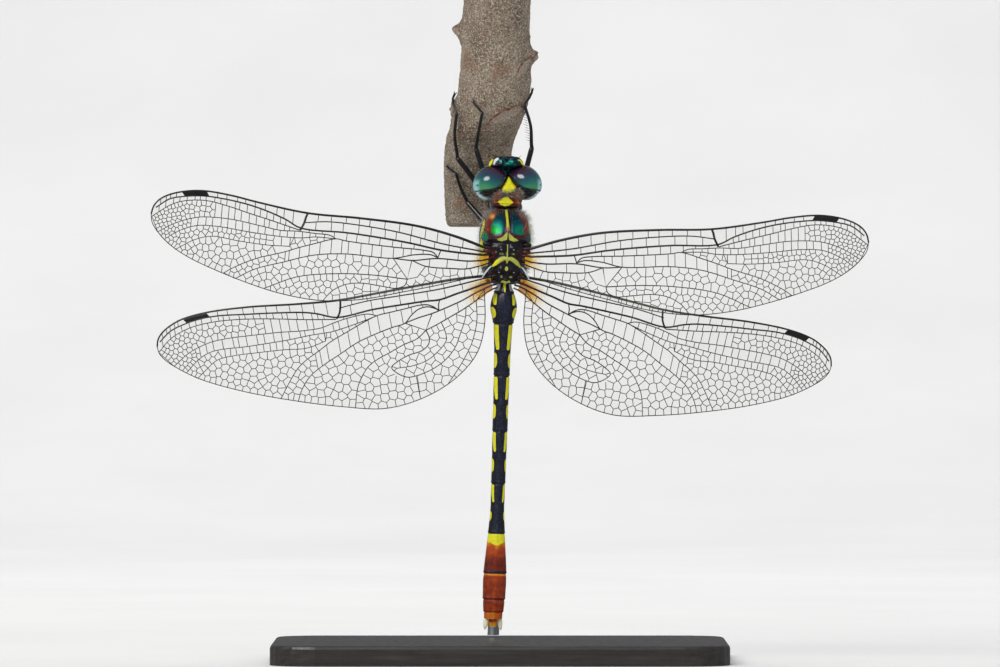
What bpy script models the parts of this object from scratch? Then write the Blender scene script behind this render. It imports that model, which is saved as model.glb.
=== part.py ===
"""Dragonfly hanging from a cut twig on a plain display stand, life size.

The insect hangs head up with its back towards -Y and its right side towards +X. All the
sizes below are millimetres and the meshes are metres. The origin is the middle of the
underside of the stand's base. The body and the wings are built in a body frame (+X to the
insect's right, +Y to its belly, +Z to its head, zero in the middle of the thorax), which
the empty "pose" places. The legs, the twig and the stand are built where they stand.
"""

import math

import bmesh
import bpy
import numpy as np
from mathutils import Matrix, Vector

MM = 0.001
GAP = 0.3                                # clearance between neighbouring solids

# The body frame: where the thorax hangs, how the head leans and how the back is turned.
THORAX_CENTRE = (0.55, -5.0, 45.1)
HEAD_LEAN = math.radians(2.0)            # towards +X
BACK_TURN = math.radians(4.0)            # the left side comes forward

# Thorax sections: height, half-width, rise of the back, drop of the belly.
THORAX = (
    (4.45, 1.45, 1.50, 2.10),
    (4.05, 2.10, 2.20, 3.05),
    (3.10, 2.58, 3.10, 3.90),
    (1.40, 2.86, 3.90, 4.42),
    (-0.60, 2.80, 4.08, 4.38),
    (-2.20, 2.48, 3.85, 3.72),
    (-3.20, 1.95, 3.30, 2.75),
    (-3.65, 1.35, 2.60, 1.80),
)
THORAX_POWER = 2.5                       # squareness of the section, 2 is an ellipse
PROTHORAX = ((5.45, 0.95, 1.50, 1.20), (5.20, 1.50, 1.75, 1.90), (4.95, 1.60, 1.75, 2.10),
             (4.75, 1.20, 1.30, 1.80))

# Abdomen: the segments' lengths, and its half-width, half-height and offset to the belly
# at some distances from its front end.
ABDOMEN_TOP = -3.95
SEGMENTS = (0.70, 3.39, 5.70, 6.05, 5.73, 5.46, 4.39, 2.84, 1.39, 0.75)
ABDOMEN = (
    (0.0, 0.86, 1.25, -0.55),
    (0.7, 1.16, 1.42, -0.55),
    (2.3, 1.48, 1.55, -0.55),
    (4.1, 1.12, 1.25, -0.45),
    (7.0, 0.95, 1.00, -0.30),
    (16.0, 0.85, 0.92, 0.00),
    (21.5, 0.80, 0.88, 0.10),
    (24.5, 0.80, 0.88, 0.10),
    (28.3, 1.05, 0.95, 0.05),
    (31.6, 1.29, 1.00, 0.00),
    (34.8, 1.20, 0.92, -0.05),
    (36.4, 0.98, 0.72, -0.08),
)
ABDOMEN_BOW = 0.15                       # how far its middle swings to the right
CERCUS_LENGTH = 1.25
CERCUS_RADIUS = 0.29
CERCUS_SPACING = 0.80                    # from the middle line to its axis

# Head: it hangs level, turned a little further than the body, about the neck. The eyes are
# ellipsoids that lean together over the top and sweep back at the side.
NECK = (0.0, 0.0, 5.3)
HEAD_TURN = math.radians(2.5)
EYE_CENTRE = (1.75, -0.35, 7.36)
EYE_RADII = (2.39, 2.70, 1.59)
EYE_LEAN = math.radians(20.0)
EYE_SWEEP = math.radians(45.0)
SKULL = ((0.0, 0.10, 7.12), (1.85, 2.35, 1.36), 3.0)     # centre, radii, squareness
FRONS = ((0.0, -0.95, 9.05), (1.95, 1.05, 1.25), 2.6)
FACE = ((0.0, 1.32, 8.95), (1.65, 0.90, 1.05), 2.4)
FACE_BACK = 8.92
LABIUM = ((0.0, 3.12, 7.95), (1.45, 0.48, 1.65), 2.4)
ANTENNA_ROOT = (0.68, -2.32, 9.72)
ANTENNA_TIP = (1.22, -2.92, 10.32)
ANTENNA_RADIUS = 0.25

# Wings in their own plane: span outwards, chord forwards, the tip on the span axis.
WING_THICKNESS = 0.5
WING_BOW = 0.5                           # how far the middle of the span arches dorsally
FOREWING_LEAD = ((0.0, 0.10), (3.3, 0.95), (7.7, 1.65), (14.0, 1.85), (19.8, 1.83),
                 (25.3, 2.45), (28.3, 2.90), (31.3, 3.10), (33.5, 2.82), (35.1, 2.28),
                 (36.1, 1.58), (36.62, 0.82), (36.8, -0.05))
FOREWING_TRAIL = ((0.2, -3.2), (4.4, -4.6), (8.5, -5.8), (13.0, -7.05), (17.6, -7.6),
                  (22.0, -7.25), (26.0, -6.38), (29.9, -5.22), (32.4, -4.30), (34.4, -3.22),
                  (35.8, -2.05), (36.6, -0.98), (36.8, -0.05))
HINDWING_LEAD = ((0.0, 0.45), (3.0, 0.68), (7.4, 0.78), (11.8, 0.80), (16.2, 0.86),
                 (20.7, 1.31), (26.0, 2.00), (30.6, 2.28), (33.4, 2.06), (34.8, 1.60),
                 (35.8, 0.98), (36.4, 0.30), (36.65, -0.45))
HINDWING_TRAIL = ((0.2, -1.1), (0.9, -4.9), (2.3, -7.8), (5.0, -10.0), (8.8, -11.45),
                  (13.2, -11.85), (17.9, -10.75), (23.0, -9.1), (28.5, -6.95),
                  (32.7, -4.82), (34.9, -3.20), (36.0, -2.15), (36.55, -1.25),
                  (36.65, -0.45))
# For each wing: root in the body frame (for the right side), sweep and lift in degrees.
WINGS = {
    "forewing_left": ("left", (2.62, -3.25, 0.25), 3.6, 7.0),
    "forewing_right": ("right", (2.62, -3.25, 0.25), 3.1, 6.5),
    "hindwing_left": ("left", (2.32, -2.30, -3.25), -12.9, -8.0),
    "hindwing_right": ("right", (2.32, -2.30, -3.25), -12.2, -14.0),
}

# Legs: hip, trochanter and knee, then where the ankle and the toe lie on the twig, as a
# height and a direction round it in degrees (-90 faces the front, 0 is the right side).
LEGS = {
    "leg_left_front": ((-0.55, -1.65, 50.0), (-0.95, -1.20, 50.9), (-2.64, -2.25, 56.3),
                       (60.2, -100), (61.3, -119)),
    "leg_right_front": ((1.75, -1.65, 50.0), (2.05, -1.20, 50.9), (3.50, -2.25, 56.4),
                        (61.1, -43), (62.8, -6)),
    "leg_left_middle": ((-0.75, -0.20, 48.6), (-1.05, 0.45, 50.6), (-4.69, -0.95, 55.3),
                        (60.2, -143), (62.3, -173)),
    "leg_right_middle": ((1.75, -0.20, 48.6), (2.05, 0.45, 50.4), (2.95, 1.90, 53.9),
                         (54.9, 16), (55.4, 60)),
    "leg_left_hind": ((-0.75, 0.25, 46.6), (-1.00, 0.95, 47.5), (-3.63, 2.60, 50.5),
                      (53.7, -123), (54.4, -146)),
    "leg_right_hind": ((1.75, 0.25, 46.6), (2.00, 0.95, 47.2), (2.75, 4.20, 49.4),
                       (51.0, 10), (51.9, 50)),
}
FEMUR_RADII = (0.42, 0.40, 0.27)         # at the hip, trochanter and knee
TIBIA_RADII = (0.27, 0.25)
TARSUS_RADII = (0.26, 0.26, 0.25)
JOINT_GAP = 0.33                         # from a joint to each of the two limbs
FOOT_LIFT = GAP + 0.45                   # from the bark to the middle of a foot

# Twig: middle line and half-thickness from the sawn top to the level lower end.
TWIG = ((-0.2, -5.0, 75.2, 3.85), (-0.3, -3.9, 71.5, 3.85), (-0.5, -2.3, 67.0, 3.95),
        (-0.7, -0.4, 62.2, 4.15), (-1.4, 1.4, 59.4, 4.05), (-2.3, 3.6, 57.0, 3.90),
        (-2.5, 6.1, 53.9, 3.90), (-2.3, 8.6, 50.6, 3.95), (-2.0, 10.6, 47.9, 4.00))
# Buds and scars: height, direction, reach and spread of each swelling.
KNOBS = ((69.3, math.radians(180), 1.0, 0.8), (66.4, math.radians(-8), 0.9, 0.8),
         (61.0, math.radians(192), 0.5, 1.0), (60.4, math.radians(-35), 0.6, 1.2),
         (51.5, math.radians(60), 0.6, 1.0))

# Stand.
BASE_SIZE = (50.0, 36.0, 2.2)
BASE_CORNER = 5.0
BASE_EDGE = 0.35
ROD_RADIUS = 0.65
ROD_FOOT = (-0.75, 10.2)
ROD_HEAD = (0.60, 10.6)

POSE = (Matrix.Translation(Vector(THORAX_CENTRE) * MM)
        @ Matrix.Rotation(HEAD_LEAN, 4, "Y") @ Matrix.Rotation(BACK_TURN, 4, "Z"))

COLOURS = {
    "chitin_green": ((0.02, 0.16, 0.12), 0.25, 0.6),
    "chitin_black": ((0.015, 0.013, 0.014), 0.30, 0.0),
    "chitin_red_brown": ((0.16, 0.035, 0.012), 0.35, 0.0),
    "chitin_yellow": ((0.75, 0.62, 0.10), 0.40, 0.0),
    "chitin_cream": ((0.80, 0.72, 0.50), 0.45, 0.0),
    "eye": ((0.03, 0.18, 0.17), 0.12, 0.0),
    "wing": ((0.55, 0.57, 0.50), 0.20, 0.0),
    "bark": ((0.30, 0.26, 0.21), 0.85, 0.0),
    "base": ((0.045, 0.043, 0.040), 0.45, 0.0),
    "rod": ((0.60, 0.60, 0.60), 0.25, 1.0),
}


# ---------------------------------------------------------------- shared helpers

def clear_scene():
    for item in list(bpy.data.objects):
        bpy.data.objects.remove(item, do_unlink=True)


def material(name):
    found = bpy.data.materials.get(name)
    if found:
        return found
    colour, roughness, metallic = COLOURS[name]
    made = bpy.data.materials.new(name)
    made.use_nodes = True
    shader = made.node_tree.nodes["Principled BSDF"]
    shader.inputs["Base Color"].default_value = (*colour, 1.0)
    shader.inputs["Roughness"].default_value = roughness
    shader.inputs["Metallic"].default_value = metallic
    return made


def add_object(name, bm, finish, parent=None, sharp=35.0):
    """Scales a millimetre bmesh to metres and links it as one named object."""
    bmesh.ops.recalc_face_normals(bm, faces=bm.faces)
    bmesh.ops.scale(bm, vec=(MM, MM, MM), verts=bm.verts)
    mesh = bpy.data.meshes.new(name)
    bm.to_mesh(mesh)
    bm.free()
    mesh.shade_smooth()
    mesh.set_sharp_from_angle(angle=math.radians(sharp))
    mesh.materials.append(material(finish))
    made = bpy.data.objects.new(name, mesh)
    bpy.context.scene.collection.objects.link(made)
    made.parent = parent
    return made


def smooth_rows(rows, count, per_span=24, crowding=1.0):
    """Rows along a smooth curve through the given rows, evenly spaced or crowded at the end."""
    knots = [np.array(row, dtype=float) for row in rows]
    knots = [2 * knots[0] - knots[1], *knots, 2 * knots[-1] - knots[-2]]
    fine = []
    for a, b, c, d in zip(knots, knots[1:], knots[2:], knots[3:]):
        ab, bc, cd = (max(np.linalg.norm(q - p), 1e-6) ** 0.5
                      for p, q in ((a, b), (b, c), (c, d)))
        start = bc * ((b - a) / ab - (c - a) / (ab + bc) + (c - b) / bc)
        end = bc * ((c - b) / bc - (d - b) / (bc + cd) + (d - c) / cd)
        for t in np.arange(per_span) / per_span:
            fine.append((2 * t ** 3 - 3 * t ** 2 + 1) * b + (t ** 3 - 2 * t ** 2 + t) * start
                        + (3 * t ** 2 - 2 * t ** 3) * c + (t ** 3 - t ** 2) * end)
    fine = np.array([*fine, knots[-2]])
    run = np.concatenate([[0.0], np.cumsum(np.linalg.norm(np.diff(fine, axis=0), axis=1))])
    wanted = run[-1] * (1 - (1 - np.linspace(0.0, 1.0, count)) ** crowding)
    return np.stack([np.interp(wanted, run, column) for column in fine.T], axis=1)


def oval(height, half_width, rise, drop, middle=0.0, power=2.0, count=16):
    """A ring across the body at one height: rise to the back (-Y), drop to the belly."""
    ring = []
    for k in range(count):
        angle = 2 * math.pi * k / count
        across = math.copysign(abs(math.cos(angle)) ** (2 / power), math.cos(angle))
        up = math.copysign(abs(math.sin(angle)) ** (2 / power), math.sin(angle))
        depth = -up * (rise if up > 0 else drop)
        ring.append(Vector((half_width * across, middle + depth, height)))
    return ring


def loft(rings, domes=(0.0, 0.0)):
    """A closed solid through rings; a dome lifts the middle of an end by that much."""
    bm = bmesh.new()
    loops = [[bm.verts.new(point) for point in ring] for ring in rings]
    for low, high in zip(loops, loops[1:]):
        for k in range(len(low)):
            after = (k + 1) % len(low)
            bm.faces.new((low[k], low[after], high[after], high[k]))
    for loop, inner, dome in ((loops[0], rings[1], domes[0]), (loops[-1], rings[-2], domes[1])):
        if dome == 0.0:
            bm.faces.new(loop)
            continue
        middle = sum((v.co for v in loop), Vector()) / len(loop)
        outward = (middle - sum(inner, Vector()) / len(inner)).normalized()
        pole = bm.verts.new(middle + outward * dome)
        for k in range(len(loop)):
            bm.faces.new((loop[k], loop[(k + 1) % len(loop)], pole))
    return bm


def ellipsoid(centre, radii, power=2.0, segments=20, rings=12, turn=Matrix.Identity(3)):
    """An ellipsoid whose outline across X and Z is squarer where the power is above 2."""
    bm = bmesh.new()
    bmesh.ops.create_uvsphere(bm, u_segments=segments, v_segments=rings, radius=1.0)
    for vert in bm.verts:
        x, y, z = vert.co
        corner = (abs(x) ** power + abs(z) ** power) ** (1 / power)
        swell = math.hypot(x, z) / corner if corner > 0.0 else 1.0
        vert.co = Vector(centre) + turn @ Vector((x * radii[0] * swell, y * radii[1],
                                                  z * radii[2] * swell))
    return bm


def slice_off(bm, point, normal):
    """Cuts away what lies on the normal's side of a plane and closes the cut."""
    geometry = bm.verts[:] + bm.edges[:] + bm.faces[:]
    cut = bmesh.ops.bisect_plane(bm, geom=geometry, dist=1e-5, plane_co=point,
                                 plane_no=normal, clear_outer=True)
    edges = [item for item in cut["geom_cut"] if isinstance(item, bmesh.types.BMEdge)]
    bmesh.ops.edgenet_fill(bm, edges=edges)
    return bm


def tube(points, radii, sides=8, spans=5):
    """A tapered rod through points, with a domed far end."""
    rows = smooth_rows([(*p, r) for p, r in zip(points, radii)], spans + 1)
    centres = [Vector(row[:3]) for row in rows]
    rings = []
    for k, centre in enumerate(centres):
        along = centres[min(k + 1, spans)] - centres[max(k - 1, 0)]
        frame = along.to_track_quat("Z", "Y")
        turns = (2 * math.pi * i / sides for i in range(sides))
        rings.append([centre + frame @ Vector((math.cos(a), math.sin(a), 0)) * rows[k][3]
                      for a in turns])
    return loft(rings, (0.0, radii[-1] * 0.3))


def towards(start, end, distance):
    """The point that far from the start of a line."""
    start, end = Vector(start), Vector(end)
    return start + (end - start).normalized() * distance


def cut_with(target, cutter):
    cutter.hide_render = True
    cutter.display_type = "WIRE"
    cut = target.modifiers.new(cutter.name, "BOOLEAN")
    cut.operation = "DIFFERENCE"
    cut.solver = "EXACT"
    cut.object = cutter


# ---------------------------------------------------------------- the body

def build_thorax(pose):
    rings = [oval(*row, power=THORAX_POWER, count=20) for row in smooth_rows(THORAX, 12)]
    add_object("thorax", loft(rings), "chitin_green", pose)
    rings = [oval(*row, power=2.2, count=16) for row in PROTHORAX]
    add_object("prothorax", loft(rings), "chitin_yellow", pose)


def abdomen_row(distance):
    """Half-width, half-height and offset of the abdomen that far behind its front end."""
    dense = smooth_rows(ABDOMEN, 200)
    return [float(np.interp(distance, dense[:, 0], column)) for column in dense.T[1:]]


def abdomen_shift(distance):
    """How far the bowed abdomen lies to the right there."""
    return ABDOMEN_BOW * math.sin(0.8 * math.pi * distance / sum(SEGMENTS))


def build_abdomen(pose):
    start = 0.0
    for number, length in enumerate(SEGMENTS, start=1):
        front, back = start + GAP / 2, start + length - GAP / 2
        rings = []
        for distance in np.linspace(front, back, 3 if length < 2.0 else 5):
            width, height, middle = abdomen_row(distance)
            ring = oval(ABDOMEN_TOP - distance, width, height, height, middle, power=2.1,
                        count=14)
            shift = Vector((abdomen_shift(distance), 0.0, 0.0))
            rings.append([point + shift for point in ring])
        finish = "chitin_red_brown" if number >= 7 else "chitin_black"
        add_object(f"abdomen_s{number}", loft(rings), finish, pose)
        start += length


def build_tail(pose):
    end = ABDOMEN_TOP - sum(SEGMENTS) - GAP / 2
    shift = abdomen_shift(sum(SEGMENTS))
    for side, name in ((-1, "cercus_left"), (1, "cercus_right")):
        root = (shift + side * CERCUS_SPACING, -0.05, end - 0.02)
        tip = (shift + side * (CERCUS_SPACING + 0.04), -0.10, end - CERCUS_LENGTH)
        add_object(name, tube((root, tip), (CERCUS_RADIUS, CERCUS_RADIUS), spans=2),
                   "chitin_cream", pose)
    rings = [[Vector((shift, 0.0, 0.0)) + point
              for point in oval(height, 0.21, 0.30, 0.30, 0.05, count=10)]
             for height in (end, end - 0.55)]
    add_object("epiproct", loft(rings, (0.0, 0.25)), "chitin_red_brown", pose)


# ---------------------------------------------------------------- the head

def eye_mesh(side, grow=0.0):
    """A leaning ellipsoid; its socket is the same shape, grown."""
    centre = (side * EYE_CENTRE[0], *EYE_CENTRE[1:])
    turn = (Matrix.Rotation(side * EYE_LEAN, 3, "Z") @ Matrix.Rotation(side * EYE_SWEEP, 3, "Y"))
    radii = [radius + grow for radius in EYE_RADII]
    return ellipsoid(centre, radii, segments=22, rings=14, turn=turn)


def build_head(body_pose):
    pose = bpy.data.objects.new("head_pose", None)
    bpy.context.scene.collection.objects.link(pose)
    pose.parent = body_pose
    neck = Matrix.Translation(Vector(NECK) * MM)
    pose.matrix_local = (neck @ Matrix.Rotation(-HEAD_LEAN, 4, "Y")
                         @ Matrix.Rotation(HEAD_TURN, 4, "Z") @ neck.inverted())
    head = add_object("head", ellipsoid(*SKULL, segments=24, rings=14), "chitin_black", pose)
    frons = ellipsoid(*FRONS, segments=20, rings=12)
    slice_off(frons, (0, 0, FACE_BACK), (0, 0, -1))
    frons = add_object("frons", frons, "chitin_green", pose)
    face = ellipsoid(*FACE, segments=20, rings=12)
    slice_off(face, (0, 0, FACE_BACK), (0, 0, -1))
    face = add_object("face", face, "chitin_yellow", pose)
    add_object("labium", ellipsoid(*LABIUM, segments=16, rings=8), "chitin_red_brown", pose)
    for side, word in ((-1, "left"), (1, "right")):
        eye = slice_off(eye_mesh(side), (side * GAP / 2, 0, 0), (-side, 0, 0))
        add_object(f"eye_{word}", eye, "eye", pose, sharp=60.0)
        socket = add_object(f"socket_{word}", eye_mesh(side, GAP), "eye", pose)
        for piece in (head, frons, face):
            cut_with(piece, socket)
        root = [side * ANTENNA_ROOT[0], *ANTENNA_ROOT[1:]]
        tip = [side * ANTENNA_TIP[0], *ANTENNA_TIP[1:]]
        add_object(f"antenna_{word}", tube((root, tip), (ANTENNA_RADIUS, ANTENNA_RADIUS),
                                           sides=8, spans=2), "chitin_black", pose)


# ---------------------------------------------------------------- wings

def wing_mesh(lead, trail, side, stations=28, strips=4):
    """The wing's middle surface, ruled between its two edges and arched along the span."""
    front = smooth_rows(lead, stations, crowding=1.5)
    back = smooth_rows(trail, stations, crowding=1.5)
    span = lead[-1][0]
    bm = bmesh.new()
    rows = []
    for fore, aft in zip(front[:-1], back[:-1]):
        row = []
        for k in range(strips + 1):
            out, chord = fore + (aft - fore) * k / strips
            arch = -WING_BOW * 4 * (out / span) * (1 - out / span)
            row.append(bm.verts.new((side * out, arch, chord)))
        rows.append(row)
    for near, far in zip(rows, rows[1:]):
        for k in range(strips):
            bm.faces.new((near[k], near[k + 1], far[k + 1], far[k]))
    tip = bm.verts.new((side * front[-1][0], 0.0, front[-1][1]))
    for k in range(strips):
        bm.faces.new((rows[-1][k], rows[-1][k + 1], tip))
    return bm


def build_wings(pose):
    for name, (word, root, sweep, lift) in WINGS.items():
        side = -1 if word == "left" else 1
        fore = name.startswith("forewing")
        lead, trail = (FOREWING_LEAD, FOREWING_TRAIL) if fore else (HINDWING_LEAD, HINDWING_TRAIL)
        wing = add_object(name, wing_mesh(lead, trail, side), "wing", pose, sharp=60.0)
        plate = wing.modifiers.new("thickness", "SOLIDIFY")
        plate.thickness = WING_THICKNESS * MM
        plate.offset = 0.0
        place = Vector((side * root[0], root[1], root[2])) * MM
        wing.matrix_local = (Matrix.Translation(place)
                             @ Matrix.Rotation(math.radians(-side * lift), 4, "Z")
                             @ Matrix.Rotation(math.radians(-side * sweep), 4, "Y"))


# ---------------------------------------------------------------- legs

def build_legs():
    for name, (hip, trochanter, knee, ankle, toe) in LEGS.items():
        middle = [(a + t) / 2 for a, t in zip(ankle, toe)]
        ankle, middle, toe = (on_twig(*place) for place in (ankle, middle, toe))
        thigh = (hip, trochanter, towards(knee, trochanter, JOINT_GAP))
        shin = (towards(knee, ankle, JOINT_GAP), towards(ankle, knee, JOINT_GAP))
        foot = (towards(ankle, middle, JOINT_GAP), middle, toe)
        for part, points, radii in (("femur", thigh, FEMUR_RADII), ("tibia", shin, TIBIA_RADII),
                                    ("tarsus", foot, TARSUS_RADII)):
            add_object(f"{name}_{part}", tube(points, radii, spans=2 * len(points) - 1),
                       "chitin_black")


# ---------------------------------------------------------------- twig and stand

def twig_radius(thickness, height, angle):
    """Half-thickness of the twig in one direction, with its swellings."""
    radius = thickness * (1 + 0.015 * math.sin(3 * angle + 0.6 * height))
    for place, direction, reach, spread in KNOBS:
        turn = math.remainder(angle - direction, 2 * math.pi) * thickness
        radius += reach * math.exp(-(turn ** 2 + (height - place) ** 2) / spread ** 2)
    return radius


def twig_point(height, angle, lift=0.0):
    """A point at a height, in one direction, that far off the bark."""
    rows = smooth_rows(TWIG, 120)[::-1]
    x, y, thickness = (float(np.interp(height, rows[:, 2], rows[:, k])) for k in (0, 1, 3))
    lean = np.interp(height, rows[:, 2], np.gradient(rows[:, 1], rows[:, 2]))
    radius = twig_radius(thickness, height, angle)
    stretch = math.hypot(1.0, lean)              # a level cut of a leaning round twig
    return Vector((x + (radius + lift) * math.cos(angle),
                   y + (radius + lift) * stretch * math.sin(angle), height))


def on_twig(height, degrees):
    return twig_point(height, math.radians(degrees), FOOT_LIFT)


def build_twig(rings=34, sides=18):
    loops = []
    for height in np.linspace(TWIG[0][2], TWIG[-1][2], rings):
        angles = (2 * math.pi * k / sides for k in range(sides))
        loops.append([twig_point(height, angle) for angle in angles])
    add_object("perch_twig", loft(loops), "bark", sharp=50.0)


def build_stand():
    length, depth, height = BASE_SIZE
    bm = bmesh.new()
    bmesh.ops.create_cube(bm, size=1.0)
    bmesh.ops.scale(bm, vec=BASE_SIZE, verts=bm.verts)
    bmesh.ops.translate(bm, vec=(0, 0, height / 2), verts=bm.verts)
    upright = [e for e in bm.edges if abs(e.verts[0].co.z - e.verts[1].co.z) > height / 2]
    bmesh.ops.bevel(bm, geom=upright, offset=BASE_CORNER, segments=6, profile=0.5,
                    affect="EDGES")
    rim = [e for e in bm.edges if min(v.co.z for v in e.verts) > height - 0.01]
    bmesh.ops.bevel(bm, geom=rim, offset=BASE_EDGE, segments=2, profile=0.5, affect="EDGES")
    add_object("stand_base", bm, "base")
    foot = Vector((*ROD_FOOT, height + GAP))
    head = Vector((*ROD_HEAD, TWIG[-1][2] - GAP))
    rings = [[end + Vector((math.cos(a), math.sin(a), 0)) * ROD_RADIUS
              for a in (2 * math.pi * k / 12 for k in range(12))] for end in (foot, head)]
    add_object("stand_rod", loft(rings), "rod")


def build():
    clear_scene()
    pose = bpy.data.objects.new("pose", None)
    bpy.context.scene.collection.objects.link(pose)
    pose.matrix_world = POSE
    build_thorax(pose)
    build_abdomen(pose)
    build_tail(pose)
    build_head(pose)
    build_wings(pose)
    build_legs()
    build_twig()
    build_stand()


build()
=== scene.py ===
"""Looks of a dragonfly that hangs from a cut twig on a plain display stand.

All the sizes below are millimetres, as the solids have them; the meshes are metres. The
body, the head, the wings, the twig and the stand keep the places of the solids that they
stand for. The insect's back faces the camera (-Y) and its right side is +X.
"""

import math

import bpy
import numpy as np
from mathutils import Matrix, Vector, noise


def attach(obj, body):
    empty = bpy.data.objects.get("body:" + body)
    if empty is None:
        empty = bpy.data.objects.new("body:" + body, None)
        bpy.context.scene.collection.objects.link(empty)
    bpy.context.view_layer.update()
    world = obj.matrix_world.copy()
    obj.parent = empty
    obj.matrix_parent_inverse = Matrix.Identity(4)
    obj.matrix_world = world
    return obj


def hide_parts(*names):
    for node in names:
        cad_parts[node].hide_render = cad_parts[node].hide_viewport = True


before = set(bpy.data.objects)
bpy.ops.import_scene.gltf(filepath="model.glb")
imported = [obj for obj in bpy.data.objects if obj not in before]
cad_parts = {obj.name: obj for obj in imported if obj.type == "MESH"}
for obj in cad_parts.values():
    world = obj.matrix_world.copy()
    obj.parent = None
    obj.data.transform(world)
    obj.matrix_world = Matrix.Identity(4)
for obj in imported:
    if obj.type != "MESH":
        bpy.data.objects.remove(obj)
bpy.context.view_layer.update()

MM = 0.001
DICE = np.random.default_rng(7)

# The body's frame: where the thorax hangs, how the head leans and how the back is turned.
THORAX_CENTRE = (0.55, -5.0, 45.1)
HEAD_LEAN = math.radians(2.0)
BACK_TURN = math.radians(4.0)
NECK = (0.0, 0.0, 5.3)
HEAD_TURN = math.radians(5.0)
HEAD_ROLL = math.radians(2.6)            # against the lean, so the left eye hangs a little lower

# Wings in their own plane: span outwards, chord forwards.
WING_BOW = 0.5
FOREWING = {
    "lead": ((0.0, 0.10), (3.3, 0.95), (7.7, 1.65), (14.0, 1.85), (19.8, 1.83), (25.3, 2.45),
             (28.3, 2.90), (31.3, 3.10), (33.5, 2.82), (35.1, 2.28), (36.1, 1.58),
             (36.62, 0.82), (36.8, -0.05)),
    "trail": ((0.2, -3.2), (4.4, -4.6), (8.5, -5.8), (13.0, -7.05), (17.6, -7.6),
              (22.0, -7.25), (26.0, -6.38), (29.9, -5.22), (32.4, -4.30), (34.4, -3.22),
              (35.8, -2.05), (36.6, -0.98), (36.8, -0.05)),
    "subcosta": ((0.0, -0.49), (4.5, -0.11), (9.5, 0.66), (13.8, 0.99), (17.5, 1.02),
                 (20.05, 0.66)),
    "radius": ((0.0, -0.88), (4.5, -0.82), (8.1, -0.40), (11.1, -0.16), (15.3, 0.04),
               (20.4, 0.05), (22.1, 0.80), (24.3, 1.53), (26.6, 2.05), (29.3, 2.38),
               (31.4, 2.45), (33.6, 2.16), (35.0, 1.75), (36.35, 0.70)),
    "sector_1": ((20.5, -0.20), (23.2, 0.44), (26.1, 1.07), (28.6, 1.64), (30.9, 1.98),
                 (33.0, 1.80), (34.6, 1.25), (36.72, -0.30)),
    "sector": ((4.95, -1.65), (5.5, -1.15), (6.5, -1.01), (10.2, -1.0), (15.2, -0.86),
               (16.4, -0.74), (18.7, -1.49), (20.3, -2.06), (22.0, -2.74), (25.0, -3.76),
               (27.4, -5.0), (28.4, -5.70)),
    "sector_2": ((16.4, -0.74), (17.1, -0.42), (18.7, -0.38), (20.7, -0.33), (22.5, -0.42),
                 (25.0, -0.12), (27.7, 0.22), (29.7, 0.27), (31.7, 0.10), (34.0, -0.72),
                 (35.9, -1.90)),
    "inter": ((16.4, -0.74), (18.7, -0.76), (20.2, -1.01), (22.3, -1.09), (26.2, -0.92),
              (29.4, -0.68), (31.9, -0.85), (34.0, -1.80), (35.1, -2.65)),
    "spur": ((21.4, -2.05), (24.0, -2.15), (27.0, -2.02), (30.0, -1.80), (31.8, -2.35),
             (33.8, -3.60)),
    "media": ((4.95, -1.65), (5.8, -1.42), (7.7, -1.63), (9.9, -2.21), (15.3, -2.27),
              (18.7, -2.75), (22.0, -3.84), (25.0, -4.90), (27.0, -6.12)),
    "stem": ((0.0, -1.48), (1.6, -1.70), (5.0, -1.76), (7.8, -2.24), (9.9, -2.21)),
    "anal": ((0.0, -2.03), (1.6, -2.55), (3.2, -2.68), (6.2, -2.72), (7.8, -2.24)),
    "cubitus": ((8.1, -4.33), (12.0, -4.25), (16.0, -4.50), (20.2, -5.25), (23.8, -6.88)),
    "cubitus_2": ((8.1, -4.33), (8.3, -4.99), (9.2, -5.42), (11.0, -5.35), (13.1, -5.25),
                  (14.8, -5.55), (16.2, -6.35), (17.2, -7.56)),
    "stigma": (30.93, 33.6),
}
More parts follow.
